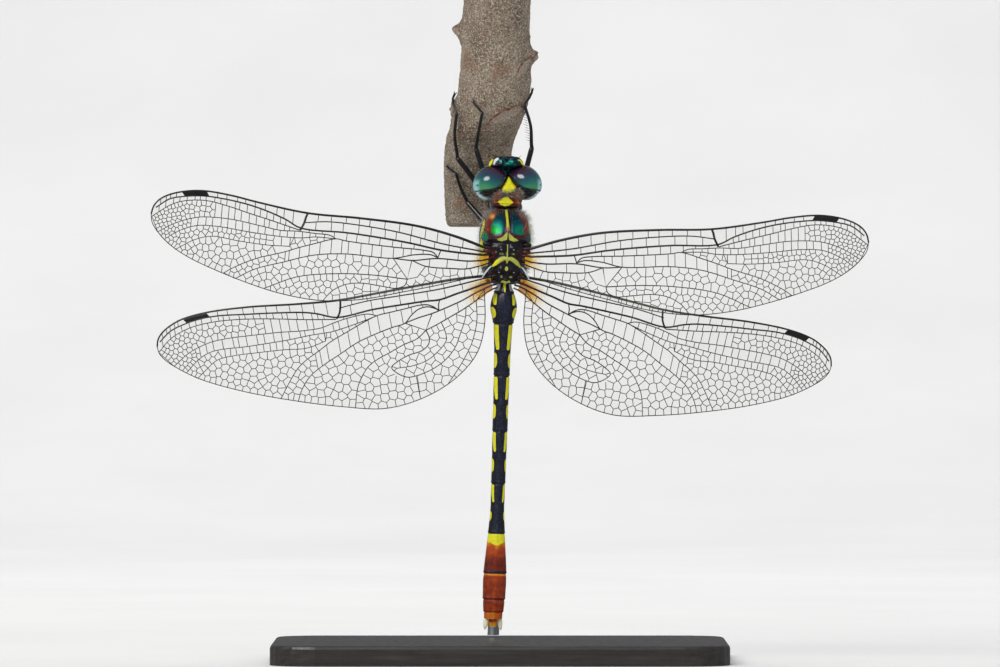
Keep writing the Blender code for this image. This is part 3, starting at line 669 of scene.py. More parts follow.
class Paint:
    """One procedural material; its textures are laid out in millimetres on the object."""

    def __init__(self, name, **values):
        self.material = bpy.data.materials.new(name)
        self.material.use_nodes = True
        self.tree = self.material.node_tree
        self.shader = self.tree.nodes["Principled BSDF"]
        for socket, value in values.items():
            self.shader.inputs[socket.replace("_", " ")].default_value = value
        place = self.node("ShaderNodeTexCoord").outputs["Object"]
        scale = self.node("ShaderNodeVectorMath", operation="SCALE")
        scale.inputs["Scale"].default_value = 1.0 / MM
        self.tree.links.new(place, scale.inputs[0])
        self.space = scale.outputs[0]

    def node(self, kind, **settings):
        made = self.tree.nodes.new(kind)
        for key, value in settings.items():
            setattr(made, key, value)
        return made

    def put(self, value, socket):
        """Links an output to a socket, or sets the socket to a plain value."""
        if isinstance(value, bpy.types.NodeSocket):
            self.tree.links.new(value, socket)
        else:
            socket.default_value = value

    def noise(self, size, detail=3.0, rough=0.55, stretch=(1, 1, 1), bend=0.0):
        """Cloudy noise with features of about that many millimetres."""
        spread = self.node("ShaderNodeMapping")
        spread.inputs["Scale"].default_value = stretch
        self.put(self.space, spread.inputs["Vector"])
        made = self.node("ShaderNodeTexNoise")
        self.put(spread.outputs[0], made.inputs["Vector"])
        made.inputs["Scale"].default_value = 1.0 / size
        made.inputs["Detail"].default_value = detail
        made.inputs["Roughness"].default_value = rough
        made.inputs["Distortion"].default_value = bend
        return made.outputs["Fac"]

    def cells(self, size, jitter=1.0):
        """The distance from the middle of a cell of about that many millimetres."""
        made = self.node("ShaderNodeTexVoronoi")
        self.put(self.space, made.inputs["Vector"])
        made.inputs["Scale"].default_value = 1.0 / size
        made.inputs["Randomness"].default_value = jitter
        return made.outputs["Distance"]

    def read(self, name):
        """A value stored on the mesh's points."""
        return self.node("ShaderNodeAttribute", attribute_name=name).outputs["Fac"]

    def sum(self, a, b, operation="ADD"):
        made = self.node("ShaderNodeMath", operation=operation)
        self.put(a, made.inputs[0])
        self.put(b, made.inputs[1])
        return made.outputs[0]

    def times(self, a, b):
        return self.sum(a, b, "MULTIPLY")

    def swing(self, value, reach):
        """A value from 0 to 1 as that much more or less than nothing."""
        return self.times(self.sum(value, -0.5), reach)

    def ramp(self, value, low, high, start=0.0, end=1.0):
        made = self.node("ShaderNodeMapRange", interpolation_type="SMOOTHSTEP")
        for k, item in enumerate((value, low, high, start, end)):
            self.put(item, made.inputs[k])
        return made.outputs[0]

    def colours(self, value, stops):
        made = self.node("ShaderNodeValToRGB")
        ramp = made.color_ramp
        while len(ramp.elements) < len(stops):
            ramp.elements.new(0.5)
        for element, (place, colour) in zip(ramp.elements, stops):
            element.position = place
            element.color = (*colour, 1.0)
        self.put(value, made.inputs["Fac"])
        return made.outputs["Color"]

    def mix(self, factor, a, b):
        made = self.node("ShaderNodeMix", data_type="RGBA")
        for value, socket in ((factor, made.inputs[0]), (a, made.inputs[6]), (b, made.inputs[7])):
            self.put((*value, 1.0) if isinstance(value, tuple) else value, socket)
        return made.outputs[2]

    def over(self, under, mask, share, top):
        """A colour laid over another where a mask is, at a share of its strength."""
        return self.mix(self.times(mask, share), under, top)

    def colour(self, value):
        self.drive("Base Color", value)

    def drive(self, socket, value):
        self.put(value, self.shader.inputs[socket])

    def bump(self, height, strength, depth):
        """Relief of that depth in millimetres."""
        made = self.node("ShaderNodeBump")
        made.inputs["Strength"].default_value = strength
        made.inputs["Distance"].default_value = depth * MM
        self.put(height, made.inputs["Height"])
        self.put(made.outputs[0], self.shader.inputs["Normal"])


def cloudy(name, cloud, stops, relief=None, gloss=None, **values):
    """A material of cloudy colour; relief and gloss are noise and how it is used."""
    paint = Paint(name, **values)
    paint.colour(paint.colours(paint.noise(**cloud), stops))
    if relief:
        paint.bump(paint.noise(**relief[0]), *relief[1:])
    if gloss:
        paint.drive("Roughness", paint.ramp(paint.noise(**gloss[0]), *gloss[1:]))
    return paint.material


def wing_materials():
    """For the veins, the dark cells, the clear skin and the stained skin."""
    amber = Paint("wing_amber", Roughness=0.25)
    tone = amber.sum(amber.read("fade"), amber.swing(amber.noise(0.5), 0.3))
    amber.colour(amber.colours(tone, ((0.1, (0.76, 0.58, 0.12)), (0.5, (0.72, 0.39, 0.012)),
                                      (0.95, (0.42, 0.14, 0.002)))))
    amber.drive("Alpha", amber.times(amber.ramp(tone, 0.0, 0.75), 0.92))
    amber.bump(amber.noise(0.4), 0.4, 0.03)
    return (
        cloudy("wing_vein", dict(size=0.9, detail=4),
               ((0.3, (0.006, 0.006, 0.009)), (0.55, (0.018, 0.014, 0.013)),
                (0.8, (0.035, 0.028, 0.030))),
               (dict(size=0.07), 0.5, 0.02), Roughness=0.34, Coat_Weight=0.25,
               Coat_Roughness=0.2),
        cloudy("wing_stigma", dict(size=0.5, detail=4),
               ((0.3, (0.003, 0.003, 0.004)), (0.8, (0.016, 0.011, 0.010))),
               (dict(size=0.12, stretch=(0.3, 1, 1)), 0.6, 0.03), Roughness=0.3,
               Coat_Weight=0.4, Coat_Roughness=0.15),
        cloudy("wing_membrane", dict(size=4.0, detail=3, bend=0.6),
               ((0.3, (0.40, 0.37, 0.26)), (0.5, (0.46, 0.44, 0.34)), (0.7, (0.42, 0.42, 0.40))),
               (dict(size=0.9, detail=5, rough=0.6), 0.6, 0.06), Roughness=0.12, Alpha=0.13,
               IOR=1.5, Coat_Weight=0.3, Coat_Roughness=0.08),
        amber.material)


# ---------------------------------------------------------------- wings

AMBER = {"forewing": 1.5, "hindwing": 2.9}            # how far the amber reaches along the span


def amber_shell(curves, side, reach, columns=24, rows=16):
    """The stained skin at the wing's root, from the subcosta to the anal vein."""
    u = np.linspace(-0.7, reach, columns)
    top, low = (on_line(u, curves[name]) for name in ("subcosta", "anal"))
    low = low - 0.35 * np.clip(u + 0.7, 0, 1)
    across = np.sin(math.pi * np.linspace(0, 1, rows)) ** 0.4
    fade = np.outer(1 - np.clip(u / reach, 0, 1), across).ravel()
    fade *= np.clip(reach / 2.6, 0, 1)
    return sheet(curves, side, u, top, low, rows, -0.02), fade


def build_wings():
    plans = {}
    for kind, wing, plan in (("forewing", FOREWING, FORE_PLAN), ("hindwing", HINDWING, HIND_PLAN)):
        curves = wing_curves(wing, plan)
        plans[kind] = curves, wing_walls(curves, plan), plan["bars"], wing["stigma"]
    veins, dark, clear, amber = wing_materials()
    for name, (side, *_) in WINGS.items():
        kind = name.split("_")[0]
        curves, walls, bars, stigma = plans[kind]
        pose = wing_pose(name)
        shell = vein_shell(curves, walls, bars, side).moved(pose)
        make_piece(f"{name}_veins", shell, veins, [name])
        make_piece(f"{name}_stigma", stigma_shell(curves, stigma, side).moved(pose), dark)
        make_piece(f"{name}_membrane", membrane_shell(curves, side).moved(pose), clear)
        shell, fade = amber_shell(curves, side, AMBER[kind])
        make_piece(f"{name}_amber", shell.moved(pose), amber, values={"fade": fade})


# ---------------------------------------------------------------- marks on the body

def blob(x, y, centre, radii, turn=0.0):
    """Distance inside (+) or outside (-) an ellipse, roughly."""
    c, s = math.cos(turn), math.sin(turn)
    along = ((x - centre[0]) * c + (y - centre[1]) * s) / radii[0]
    across = ((y - centre[1]) * c - (x - centre[0]) * s) / radii[1]
    return (1 - np.hypot(along, across)) * min(radii)


def stroke(x, y, points, widths):
    """Distance inside (+) or outside (-) a line whose half-width changes along it."""
    best = np.full(len(x), -99.0)
    for (ax, ay), (bx, by), near, far in zip(points, points[1:], widths, widths[1:]):
        run = (bx - ax) ** 2 + (by - ay) ** 2
        t = np.clip(((x - ax) * (bx - ax) + (y - ay) * (by - ay)) / run, 0.0, 1.0)
        gap = np.hypot(x - ax - t * (bx - ax), y - ay - t * (by - ay))
        best = np.maximum(best, near + (far - near) * t - gap)
    return best


def patch(x, y, outline):
    """Distance inside (+) or outside (-) a closed outline."""
    flat = np.stack([x, y], axis=1)
    outline = np.array(outline, dtype=float)
    edge = nearest_on(flat, np.vstack([outline, outline[:1]]))
    gap = np.linalg.norm(flat - edge, axis=1)
    return np.where(inside(flat, outline), gap, -gap)


def ridge(distance, width):
    return np.exp(-(distance / width) ** 2)


def mound(x, y, centre, width, squeeze=(1.0, 1.0)):
    """From 1 at a place to 0 some widths away from it."""
    return ridge(np.hypot((x - centre[0]) * squeeze[0], (y - centre[1]) * squeeze[1]), width)


def wrapped(angle):
    """An angle brought between minus and plus half a turn."""
    return np.remainder(angle + math.pi, 2 * math.pi) - math.pi


def step(value, low, high):
    t = np.clip((value - low) / (high - low), 0.0, 1.0)
    return t * t * (3 - 2 * t)


# cream holds real pale marks and also painted glints on the notum and a painted highlight on the
# frons.
EDGED_MARKS = ("yellow", "metal", "cream")            # a distance inside the mark's edge
# blue holds the tail's blue-black bands and a painted sheen along the back.
SHADES = ("red", "warm", "hue", "blue", "dull", "leaf")     # how much, from 0 to 1
MARKS = EDGED_MARKS + SHADES


def marks_on(count, **values):
    """Every mark for so many points: as given, or else absent."""
    absent = dict.fromkeys(EDGED_MARKS, -1.0) | dict.fromkeys(SHADES, 0.0)
    return {name: np.broadcast_to(value, count) for name, value in (absent | values).items()}


# ---------------------------------------------------------------- thorax

# Sections: height, half-width, rise of the back, drop of the belly.
THORAX = ((4.52, 1.20, 1.30, 1.90), (4.40, 1.62, 1.62, 2.30), (4.05, 2.10, 2.20, 3.05),
          (3.10, 2.58, 3.10, 3.90), (1.40, 2.86, 3.90, 4.42), (-0.60, 2.80, 4.08, 4.38),
          (-2.20, 2.48, 3.85, 3.72), (-3.20, 1.95, 3.30, 2.75), (-3.75, 1.25, 2.50, 1.80))
THORAX_POWER = 2.5
BACK_EDGE = -0.5                         # the depth that the back's marks end at
BELLY_SWELL = 0.09                       # how much wider the front part is below than above
PROTHORAX = ((6.16, 0.35, 1.45, 0.80), (5.95, 0.90, 1.86, 1.20), (5.70, 1.28, 2.02, 1.60),
             (5.45, 1.52, 2.05, 1.80), (5.10, 1.66, 2.00, 2.05), (4.82, 1.55, 1.84, 1.95),
             (4.62, 1.15, 1.45, 1.70))
SKIN_DEPTH = 0.07                        # how far the skin lies inside the solids
BACK = math.pi / 2                       # a ring's angles: 0 right, this the back, -this belly


def squared(angle, power):
    """Cosine and sine of a ring's angle, with the ring made squarer."""
    return (np.sign(part) * np.abs(part) ** (2 / power) for part in (np.cos(angle), np.sin(angle)))


def oval(height, half_width, rise, drop, middle, power, count):
    """A ring across the body at one height: rise to the back (-Y), drop to the belly."""
    across, up = squared(2 * math.pi * np.arange(count) / count, power)
    depth = -up * np.where(up > 0, rise, drop)
    return np.stack([half_width * across, middle + depth, np.full(count, height)], axis=1)


def ovals(rows, power, count):
    """Rings for rows of height, half-width, rise and drop, and of shift to the side if given."""
    rings = [oval(*row[:4], 0.0, power, count) + (*row[4:], *(0.0,) * (7 - len(row)))
             for row in rows]
    return np.concatenate(rings)


# The back's lumps: height, place to the side and along, width, squeeze.
THORAX_LUMPS = (
    (0.18, (0.0, 2.0), 0.20, (1, 1)), (0.34, (0.72, 0.20), 0.46, (0.9, 1)),
    (0.26, (1.72, 0.25), 0.36, (1, 0.8)), (0.20, (1.35, -0.45), 0.24, (1, 1)),
    (0.22, (0.0, -0.55), 0.22, (0.8, 1)), (0.26, (0.62, -2.25), 0.38, (0.9, 1)),
    (0.20, (1.35, -2.35), 0.28, (1, 1)), (0.16, (0.0, -2.2), 0.18, (1, 1)),
    (0.14, (0.95, -2.95), 0.20, (1, 1)), (0.24, (0.0, -3.42), 0.22, (0.7, 1)))
# Its cords: height, half-width, places.
THORAX_CORDS = (
    (0.16, 0.13, ((0.0, 1.75), (0.8, 1.3), (2.3, 1.0))),
    (0.26, 0.24, ((0.0, -0.98), (0.6, -1.05), (1.1, -1.35), (1.6, -1.8))),
    (0.16, 0.09, ((1.2, -1.8), (1.7, -2.4), (2.2, -2.9))))
FLANK_FURROWS = (((-2.6, 0.9), (-0.9, 2.2), (1.6, 3.4)), ((-2.2, -0.9), (0.2, 0.6), (2.6, 1.9)),
                 ((-2.0, -3.0), (0.6, -1.7), (3.2, -0.2)))


def line_gap(x, y, points):
    """Minus the distance from a thin line."""
    return stroke(x, y, points, (0.0,) * len(points))


def thorax_relief(x, y, z):
    """How far the thorax's plates and ridges stand out from its plain form."""
    side = np.abs(x)
    keel = 0.17 * ridge(side, 0.12) * step(z, 1.9, 2.3) * step(-z, -4.7, -4.2)
    spine = 0.14 * ridge(side, 0.07) * step(z, -0.6, -0.2)
    panel = -0.09 * ridge(side - 0.34, 0.14) * step(z, 0.9, 1.3)
    notum = -0.30 * step(-z, -0.95, -0.75) * step(z, -3.6, -3.0)
    seam = -0.12 * ridge(z - 0.95, 0.08)
    relief = keel + spine + panel + notum + seam
    for height, centre, width, squeeze in THORAX_LUMPS:
        relief += height * mound(side, z, centre, width, squeeze)
    for height, width, points in THORAX_CORDS:
        relief += height * ridge(line_gap(side, z, points), width)
    furrows = sum(-0.10 * ridge(line_gap(y, z, points), 0.10) for points in FLANK_FURROWS)
    return step(-y, 0.2, 1.6) * relief + furrows * step(side, 1.7, 2.3) * step(y, -2.7, -2.2)


def thorax_yellow(x, y, z):
    """How far inside the yellow marks of the back and the flanks a place lies."""
    side = np.abs(x)
    wedge = patch(side, z, ((-0.2, 2.02), (0.14, 1.95), (0.62, 1.38), (1.30, 1.05), (0.7, 0.96),
                            (0.13, 1.12), (0.07, 1.5), (-0.2, 1.6)))
    lumps = np.maximum(blob(side, z, (0.70, -0.42), (0.26, 0.13)),
                       blob(side, z, (0.58, -3.02), (0.22, 0.12)))
    back = np.maximum.reduce([
        stroke(x, z, ((-0.20, 4.75), (-0.08, 3.4), (0.02, 2.25)), (0.13, 0.11, 0.19)),
        np.minimum(wedge, side - 0.06),
        stroke(side, z, ((0.0, -1.02), (0.45, -0.98), (0.85, -1.15), (1.2, -1.42), (1.6, -1.85)),
               (0.20, 0.24, 0.25, 0.24, 0.09)),
        patch(x, z, ((-0.30, -0.9), (0.30, -0.9), (0.02, -1.62))),
        blob(x, z, (-0.02, -2.12), (0.19, 0.27)),
        np.minimum(lumps, -0.004),
        stroke(x, z, ((0, 0.62), (0, -0.72)), (0.05, 0.08)),
        stroke(side, z, ((0.0, -3.50), (0.38, -3.47), (0.52, -3.55)), (0.11, 0.10, 0.04)),
        stroke(x, z, ((-0.04, -3.5), (-0.08, -3.9)), (0.14, 0.13))])
    nick = blob(side, z, (0.30, -1.22), (0.09, 0.10))
    flank = np.maximum.reduce([
        stroke(y, z, ((-0.70, 3.45), (-0.62, 2.6), (-0.50, 1.6)), (0.34, 0.62, 0.36)),
        np.minimum(stroke(y, z, ((-1.0, 0.45), (-0.9, -1.05)), (0.70, 0.70)),
                   np.abs(z + 0.35) - 0.14),
        stroke(y, z, ((0.9, 3.45), (2.4, 2.75), (3.5, 1.75)), (0.22, 0.55, 0.30)),
        stroke(y, z, ((-0.4, 0.7), (1.6, -0.55), (3.0, -1.5)), (0.20, 0.50, 0.30)),
        stroke(y, z, ((-0.6, -2.4), (1.4, -3.0)), (0.16, 0.30))])
    return np.maximum(np.minimum.reduce([back, BACK_EDGE - y, -nick]),
                      np.minimum(flank, side - 2.45 - 0.30 * ridge(z - 1.4, 0.5)))


def thorax_metal(x, y, z):
    """How far inside the front panels a place lies, how far inside any metal, and its hue, which
    holds a painted sheen.
    """
    side = np.abs(x)
    left = x < 0
    panel = patch(side, z, ((0.40, 4.15), (1.00, 4.22), (1.42, 3.7), (1.82, 2.7), (1.84, 1.90),
                            (1.55, 1.66), (0.75, 1.80), (0.42, 2.08)))
    shoulder = blob(side, z, (2.56, 1.35), (0.42, 0.62))
    sides = np.minimum(blob(y, z, (1.35, -0.75), (2.15, 2.85)), side - 1.2)
    metal = np.maximum.reduce([np.minimum(panel, BACK_EDGE - y), shoulder, sides])
    # Painted sheen: the panels turn greener towards their lower outer corner, partly their own
    # colour and more on the left where the light falls; the shoulder gets a painted highlight on
    # the left only.
    green_and_sheen = mound(side, z, (1.50, 2.15), 0.85, (0.80, 1)) * np.where(left, 1.0, 0.68)
    shoulder_sheen = mound(side, z, (2.56, 1.6), 0.8) * np.where(left, 0.56, 0.04)
    return panel, metal, np.where(side < 2.05, 0.14 + 0.84 * green_and_sheen, 0.28 + shoulder_sheen)


def thorax_marks(x, y, z):
    side = np.abs(x)
    back = BACK_EDGE - y
    panel, metal, hue = thorax_metal(x, y, z)
    # The two pairs of pale dots on the notum are painted glints.
    cream = np.maximum(blob(side, z, (0.70, 0.04), (0.12, 0.06)),
                       blob(side, z, (0.88, -2.52), (0.10, 0.06)))
    rim = (ridge(np.maximum(-panel, 0.0), 0.75) * (panel < 0) * step(side, 0.45, 0.8)
           * step(z, 1.05, 1.3) * step(back, 0.0, 0.5))
    root = (mound(side, z, (2.2, -0.55), 0.55, (0.8, 1))
            + mound(side, z, (1.9, -3.1), 0.45, (0.8, 1)))
    # The orange spot high on the left flank is a painted highlight, with a weaker one on the right.
    warm = (0.06 * step(z, 1.5, 2.2) + 0.75 * mound(x, z, (-1.72, 3.70), 0.40)
            + 0.25 * mound(side, z, (1.68, 3.75), 0.38)
            + 0.30 * ridge(side - 2.3, 0.4) * step(z, 1.6, 2.2) + 0.55 * root)
    leaf = 0.30 + 0.60 * step(2.15 - z, 0.0, 0.2) - mound(x, z, (-1.3, -1.5), 0.60)
    return marks_on(len(x), yellow=thorax_yellow(x, y, z), metal=metal, hue=hue,
                    cream=np.minimum(cream, back), red=np.clip(0.95 * rim + 0.75 * root, 0, 1),
                    warm=np.clip(warm, 0, 1), dull=mound(x, z, (0.02, 2.20), 0.32)
                    * step(back, 0, 0.5), leaf=np.clip(leaf, 0, 1) * step(2.2 - side, 0.0, 0.4))


def thorax_shell(rings=120, count=220):
    points = ovals(smooth_rows(THORAX, rings), THORAX_POWER, count)
    x, y, z = points.T
    x *= 1 + BELLY_SWELL * step(z, 0.3, 2.2) * np.clip(y / 2.5, -1, 1)
    out = np.stack([x, y * 0.8, 0.35 * (z - 0.4)], axis=1)
    out /= lengthwise(out)
    marks = thorax_marks(x, y, z)
    points = points + out * (thorax_relief(x, y, z) - SKIN_DEPTH)[:, None]
    return points, capped_faces(rings, count), marks


def prothorax_shell(rings=40, count=100):
    rows = smooth_rows(PROTHORAX, rings)
    rows[:, 1:3] *= (1 - 0.04 * np.cos((rows[:, 0] - 4.95) * 12))[:, None]
    points = ovals(rows, 2.2, count) - (0.12, 0.0, 0.0)
    x, y, z = points.T
    shield = patch(x, z, ((-0.18, 6.1), (-0.62, 5.66), (-1.12, 5.28), (-0.80, 4.95), (-0.30, 4.80),
                          (0.18, 4.92), (0.62, 5.25), (0.12, 5.68)))
    sides = ridge(np.abs(x + 0.1) - 1.30, 0.30) * step(z, 5.0, 5.3)
    marks = marks_on(len(x), yellow=np.where(y < 0.0, shield, -1.0),
                     red=0.85 * step(z, 4.75, 5.0) * (y < 0.6),
                     warm=np.clip(0.12 + 0.75 * sides, 0, 1))
    return points, grid_faces(rings, count, closed=True) + [tuple(range(count))], marks


# ---------------------------------------------------------------- abdomen

ABDOMEN_TOP = -3.95
SEGMENTS = (0.70, 3.39, 5.70, 6.05, 5.73, 5.46, 4.39, 2.84, 1.39, 0.75)
ABDOMEN = ((-0.8, 0.73, 1.05, -0.55), (0.0, 0.86, 1.25, -0.55), (0.7, 1.16, 1.42, -0.55),
           (2.3, 1.48, 1.55, -0.55), (4.1, 1.12, 1.25, -0.45), (7.0, 0.95, 1.00, -0.30),
           (16.0, 0.85, 0.92, 0.00), (21.5, 0.80, 0.88, 0.10), (24.5, 0.80, 0.88, 0.10),
           (28.3, 1.05, 0.95, 0.05), (31.6, 1.29, 1.00, 0.00), (34.8, 1.20, 0.92, -0.05),
           (36.4, 0.98, 0.72, -0.08))
ABDOMEN_BOW = 0.15                       # how far its middle swings to the right
JOINTS = np.cumsum((0.0,) + SEGMENTS)
ABDOMEN_END = ABDOMEN_TOP - JOINTS[-1]
TAIL_SHIFT = 0.09                        # how far to the right the bow brings its end
# A clasper's places from the abdomen's end, with its radius.
CERCUS = ((0.68, 0.0, 0.20, 0.24), (0.74, -0.02, -0.20, 0.29), (0.80, -0.05, -0.62, 0.25),
          (0.85, -0.08, -0.98, 0.16), (0.88, -0.10, -1.24, 0.03))


def segment_of(distance):
    """The segment's number, and how far a place lies behind its front and before its end."""
    number = np.clip(np.searchsorted(JOINTS, distance, side="right"), 1, len(SEGMENTS))
    return number, distance - JOINTS[number - 1], JOINTS[number] - distance


def abdomen_shell(count=72, step_length=0.10):
    distances = np.arange(ABDOMEN[0][0], JOINTS[-1] + 1e-6, step_length)
    dense = smooth_rows(ABDOMEN, 300)
    angle = 2 * math.pi * np.arange(count) / count
    rings = []
    for distance in distances:
        width, height, middle = (np.interp(distance, dense[:, 0], column)
                                 for column in dense.T[1:])
        number, front, end = segment_of(distance)
        waist = 0.0 if distance < 0.3 else 0.06 * ridge(front, 0.11) + 0.025 * ridge(front, 0.5)
        collar = 0.035 * ridge(end - 0.14, 0.10) if end < 1.0 else 0.0
        seam = 0.04 * ridge(end, 0.05)
        swell = 1 - waist + collar - seam
        if 3 <= number <= 6:
            swell -= 0.02 * ridge(front / (front + end) - 0.48, 0.16)
            swell -= 0.018 * ridge(front - 0.44 * (front + end), 0.06)
        width, height = width * swell - SKIN_DEPTH / 3, height * swell - SKIN_DEPTH / 3
        ring = oval(ABDOMEN_TOP - distance, width, height, height, middle, 2.1, count)
        keel = 0.055 * ridge(np.abs(np.sin((angle - BACK) / 2)), 0.05)
        groove = 0.09 * (ridge(angle - 1.32 * math.pi, 0.12) + ridge(angle - 1.68 * math.pi, 0.12))
        ring[:, 1] -= keel - groove
        rings.append(ring)
    grid = np.concatenate(rings)
    place = np.repeat(distances, count)
    flat = grid.copy()
    grid[:, 0] += ABDOMEN_BOW * np.sin(math.pi * np.clip(place / JOINTS[-1], 0, 1) * 0.8)
    turn = np.abs(wrapped(np.tile(angle, len(distances)) - BACK))
    return grid, capped_faces(len(distances), count), abdomen_marks(flat, place, turn)


# Yellow marks of the segments 2 to 6: where each begins and ends behind the segment's front,
# as shares of its length, and the angles from the back that it spans at its two ends.
ABDOMEN_SPOTS = {
    2: ((0.04, 0.40, 0.74, 1.60), (0.47, 0.82, 0.66, 1.62)),
    3: ((0.02, 0.50, 0.56, 1.66), (0.56, 0.85, 0.66, 1.66)),
    4: ((0.02, 0.43, 0.60, 1.66), (0.51, 0.78, 0.68, 1.62)),
    5: ((0.02, 0.40, 0.66, 1.64), (0.52, 0.79, 0.76, 1.58)),
    6: ((0.02, 0.38, 0.70, 1.62), (0.55, 0.76, 0.86, 1.56)),
}
FRONT_TAPER = 0.90                       # the angle that a front mark narrows to behind
# Dark bands of the tail: the joint, how far before it, width and darkness.
TAIL_BANDS = ((7, 0.16, 0.17, 0.96), (8, 0.06, 0.09, 0.85), (9, 0.03, 0.06, 0.45))


def abdomen_yellow(number, front, end, turn, radius):
    """How far inside the yellow marks of the segments 2 to 6 a place lies."""
    share = front / (front + end)
    yellow = np.full(len(share), -1.0)
    for which, spots in ABDOMEN_SPOTS.items():
        length = SEGMENTS[which - 1]
        for k, (start, stop, near, far) in enumerate(spots):
            run = np.clip((share - start) / (stop - start), 0, 1)
            along = np.minimum(share - start, stop - share) * length
            bow = 0.16 * (2 * run - 1) ** 2
            if k == 0:
                low, high, corner = near - 0.12 * run, far - (far - FRONT_TAPER) * run, 0.16
            else:
                low, high, corner = near + 0.05 + bow, far, 0.30
            around = np.minimum(turn - low, high - turn) * radius * 0.9
            soft = corner - np.hypot(np.maximum(corner - along, 0), np.maximum(corner - around, 0))
            shape = np.where((along < corner) & (around < corner), soft,
                             np.minimum(along, around))
            yellow = np.where(number == which, np.maximum(yellow, shape), yellow)
    return yellow


def abdomen_marks(grid, place, turn):
    x = grid[:, 0]
    radius = np.maximum(np.hypot(x, grid[:, 1]), 0.6)
    number, front, end = segment_of(place)
    yellow = abdomen_yellow(number, front, end, turn, radius)
    ring = np.minimum(front - 0.02, 0.98 - front + 0.34 * ridge(x, 0.5) - 0.10 * (np.abs(x) > 0.95))
    yellow = np.where(number == 7, np.minimum(ring, 2.9 - turn), yellow)
    stem = stroke(x, grid[:, 2], ((0.0, -3.2), (-0.04, -3.9), (0.0, -4.5)), (0.14, 0.15, 0.08))
    cream = np.where(turn < 1.7, np.minimum(turn - 0.58, 0.5 - place) * 0.35, -1.0)
    hem = np.where(number < 10, 0.09 - np.abs(turn - 1.58), -1.0)
    tail = step(place, JOINTS[6] + 0.45, JOINTS[6] + 1.10)
    bands = sum(dark * ridge(place - (JOINTS[joint] - before), width)
                for joint, before, width, dark in TAIL_BANDS)
    bands = np.clip(1.25 * bands, 0, 1)
    run = np.clip((place - JOINTS[6] - 0.7) / 2.4, 0, 1)
    behind = place - JOINTS[7] - 0.10
    warm = 0.95 - 0.80 * run ** 0.7 + 0.55 * ridge(behind, 0.12) * step(turn, 0.1, 0.4)
    warm = np.where(number >= 8, 0.32 + 0.55 * ridge(behind, 0.13), warm)
    warm += 0.10 * ridge(turn, 0.22) * (number >= 7) + 0.30 * (number == 10)
    # blue: a painted sheen along the middle of the back, and the tail's dark bands in their own
    # blue-black.
    return marks_on(len(place), yellow=np.maximum(yellow, np.where(turn < 1.0, stem, -1.0)),
                    cream=np.maximum(cream, np.minimum(hem, place - JOINTS[6] - 1.3)),
                    red=tail * (1 - bands), warm=np.clip(warm, 0, 1),
                    blue=np.clip(ridge(turn, 0.65) * (1 - tail) + bands * tail, 0, 1))


# ---------------------------------------------------------------- head

SIDES = ((-1, "left"), (1, "right"))
FEELER = ((0.66, -2.16, 9.50, 0.15), (0.74, -2.34, 9.72, 0.13), (0.84, -2.48, 9.90, 0.05),
          (1.0, -2.68, 10.12, 0.03), (1.2, -2.86, 10.36, 0.012))
# The pads at the wings' roots: centre, radii, how warm their brown is; and a cord between them.
HINGE_PADS = (
    ((2.15, -2.95, 0.62), (0.55, 0.36, 0.30), 0.0), ((2.1, -3.05, -0.15), (0.50, 0.30, 0.34), 0.3),
    ((2.0, -2.8, -0.95), (0.58, 0.32, 0.42), 0.55), ((1.95, -2.15, -2.85), (0.50, 0.40, 0.30), 0.0),
    ((1.85, -2.1, -3.40), (0.46, 0.34, 0.34), 0.5))
HINGE_CORD = ((1.45, -3.05, -1.62, 0.06), (1.95, -2.95, -2.10, 0.09),
              (2.30, -2.75, -2.60, 0.10), (2.55, -2.45, -3.05, 0.06))
# The pale crescent's start is partly the eye's own pale edge and partly a painted sky reflection.
SHEEN_CRESCENT = {"left": (-0.78, -0.54), "right": (-0.70, -0.46)}     # where the pale edge begins
EYE_CENTRE = (1.82, -0.35, 7.36)
EYE_RADII = (2.12, 2.45, 1.85)
EYE_LEAN = math.radians(12.0)
EYE_SWEEP = math.radians(50.0)
EYE_MARGIN = ((0.0, 8.30), (0.30, 8.02), (0.50, 7.70), (1.0, 7.15), (1.5, 6.82), (2.25, 6.64),
              (2.95, 6.56), (3.9, 6.40))
SKULL = ((0.0, 0.35, 7.10), (2.60, 1.90, 1.30), 3.0)     # centre, radii, squareness
# Rings of the back of the head: height, half-width, rise, drop, shift to the side.
OCCIPUT = ((8.02, 0.12, 1.45, 0.2, 0.0), (7.90, 0.24, 1.66, 0.3, 0.0), (7.50, 0.62, 1.95, 0.5, 0.0),
           (7.20, 0.92, 2.12, 0.6, 0.0), (6.90, 1.30, 2.28, 0.7, 0.0), (6.60, 1.66, 2.34, 0.8, 0.0),
           (6.35, 1.94, 2.30, 0.9, -0.06), (6.10, 2.08, 2.12, 1.0, -0.14),
           (5.85, 2.06, 1.76, 1.1, -0.22), (5.62, 1.86, 1.30, 1.0, -0.28),
           (5.42, 1.30, 0.80, 0.8, -0.32))
OCCIPUT_POWER = 3.6
FRONS = ((-0.15, -0.95, 9.05), (1.95, 1.05, 1.25), 2.6)
VERTEX = ((0.0, -1.72, 9.42), (0.46, 0.42, 0.26), 2.2)
FACE = ((0.0, 1.32, 8.95), (1.60, 0.86, 1.00), 2.4)
LABIUM = ((0.0, 3.10, 7.95), (1.38, 0.42, 1.58), 2.4)
CHEEK = ((0.0, 1.6, 7.6), (1.9, 1.35, 1.35), 2.4)
NECK_ROWS = ((6.1, 0.85, 0.8, 0.9), (5.75, 0.62, 0.6, 0.75), (5.3, 0.7, 0.75, 0.95))


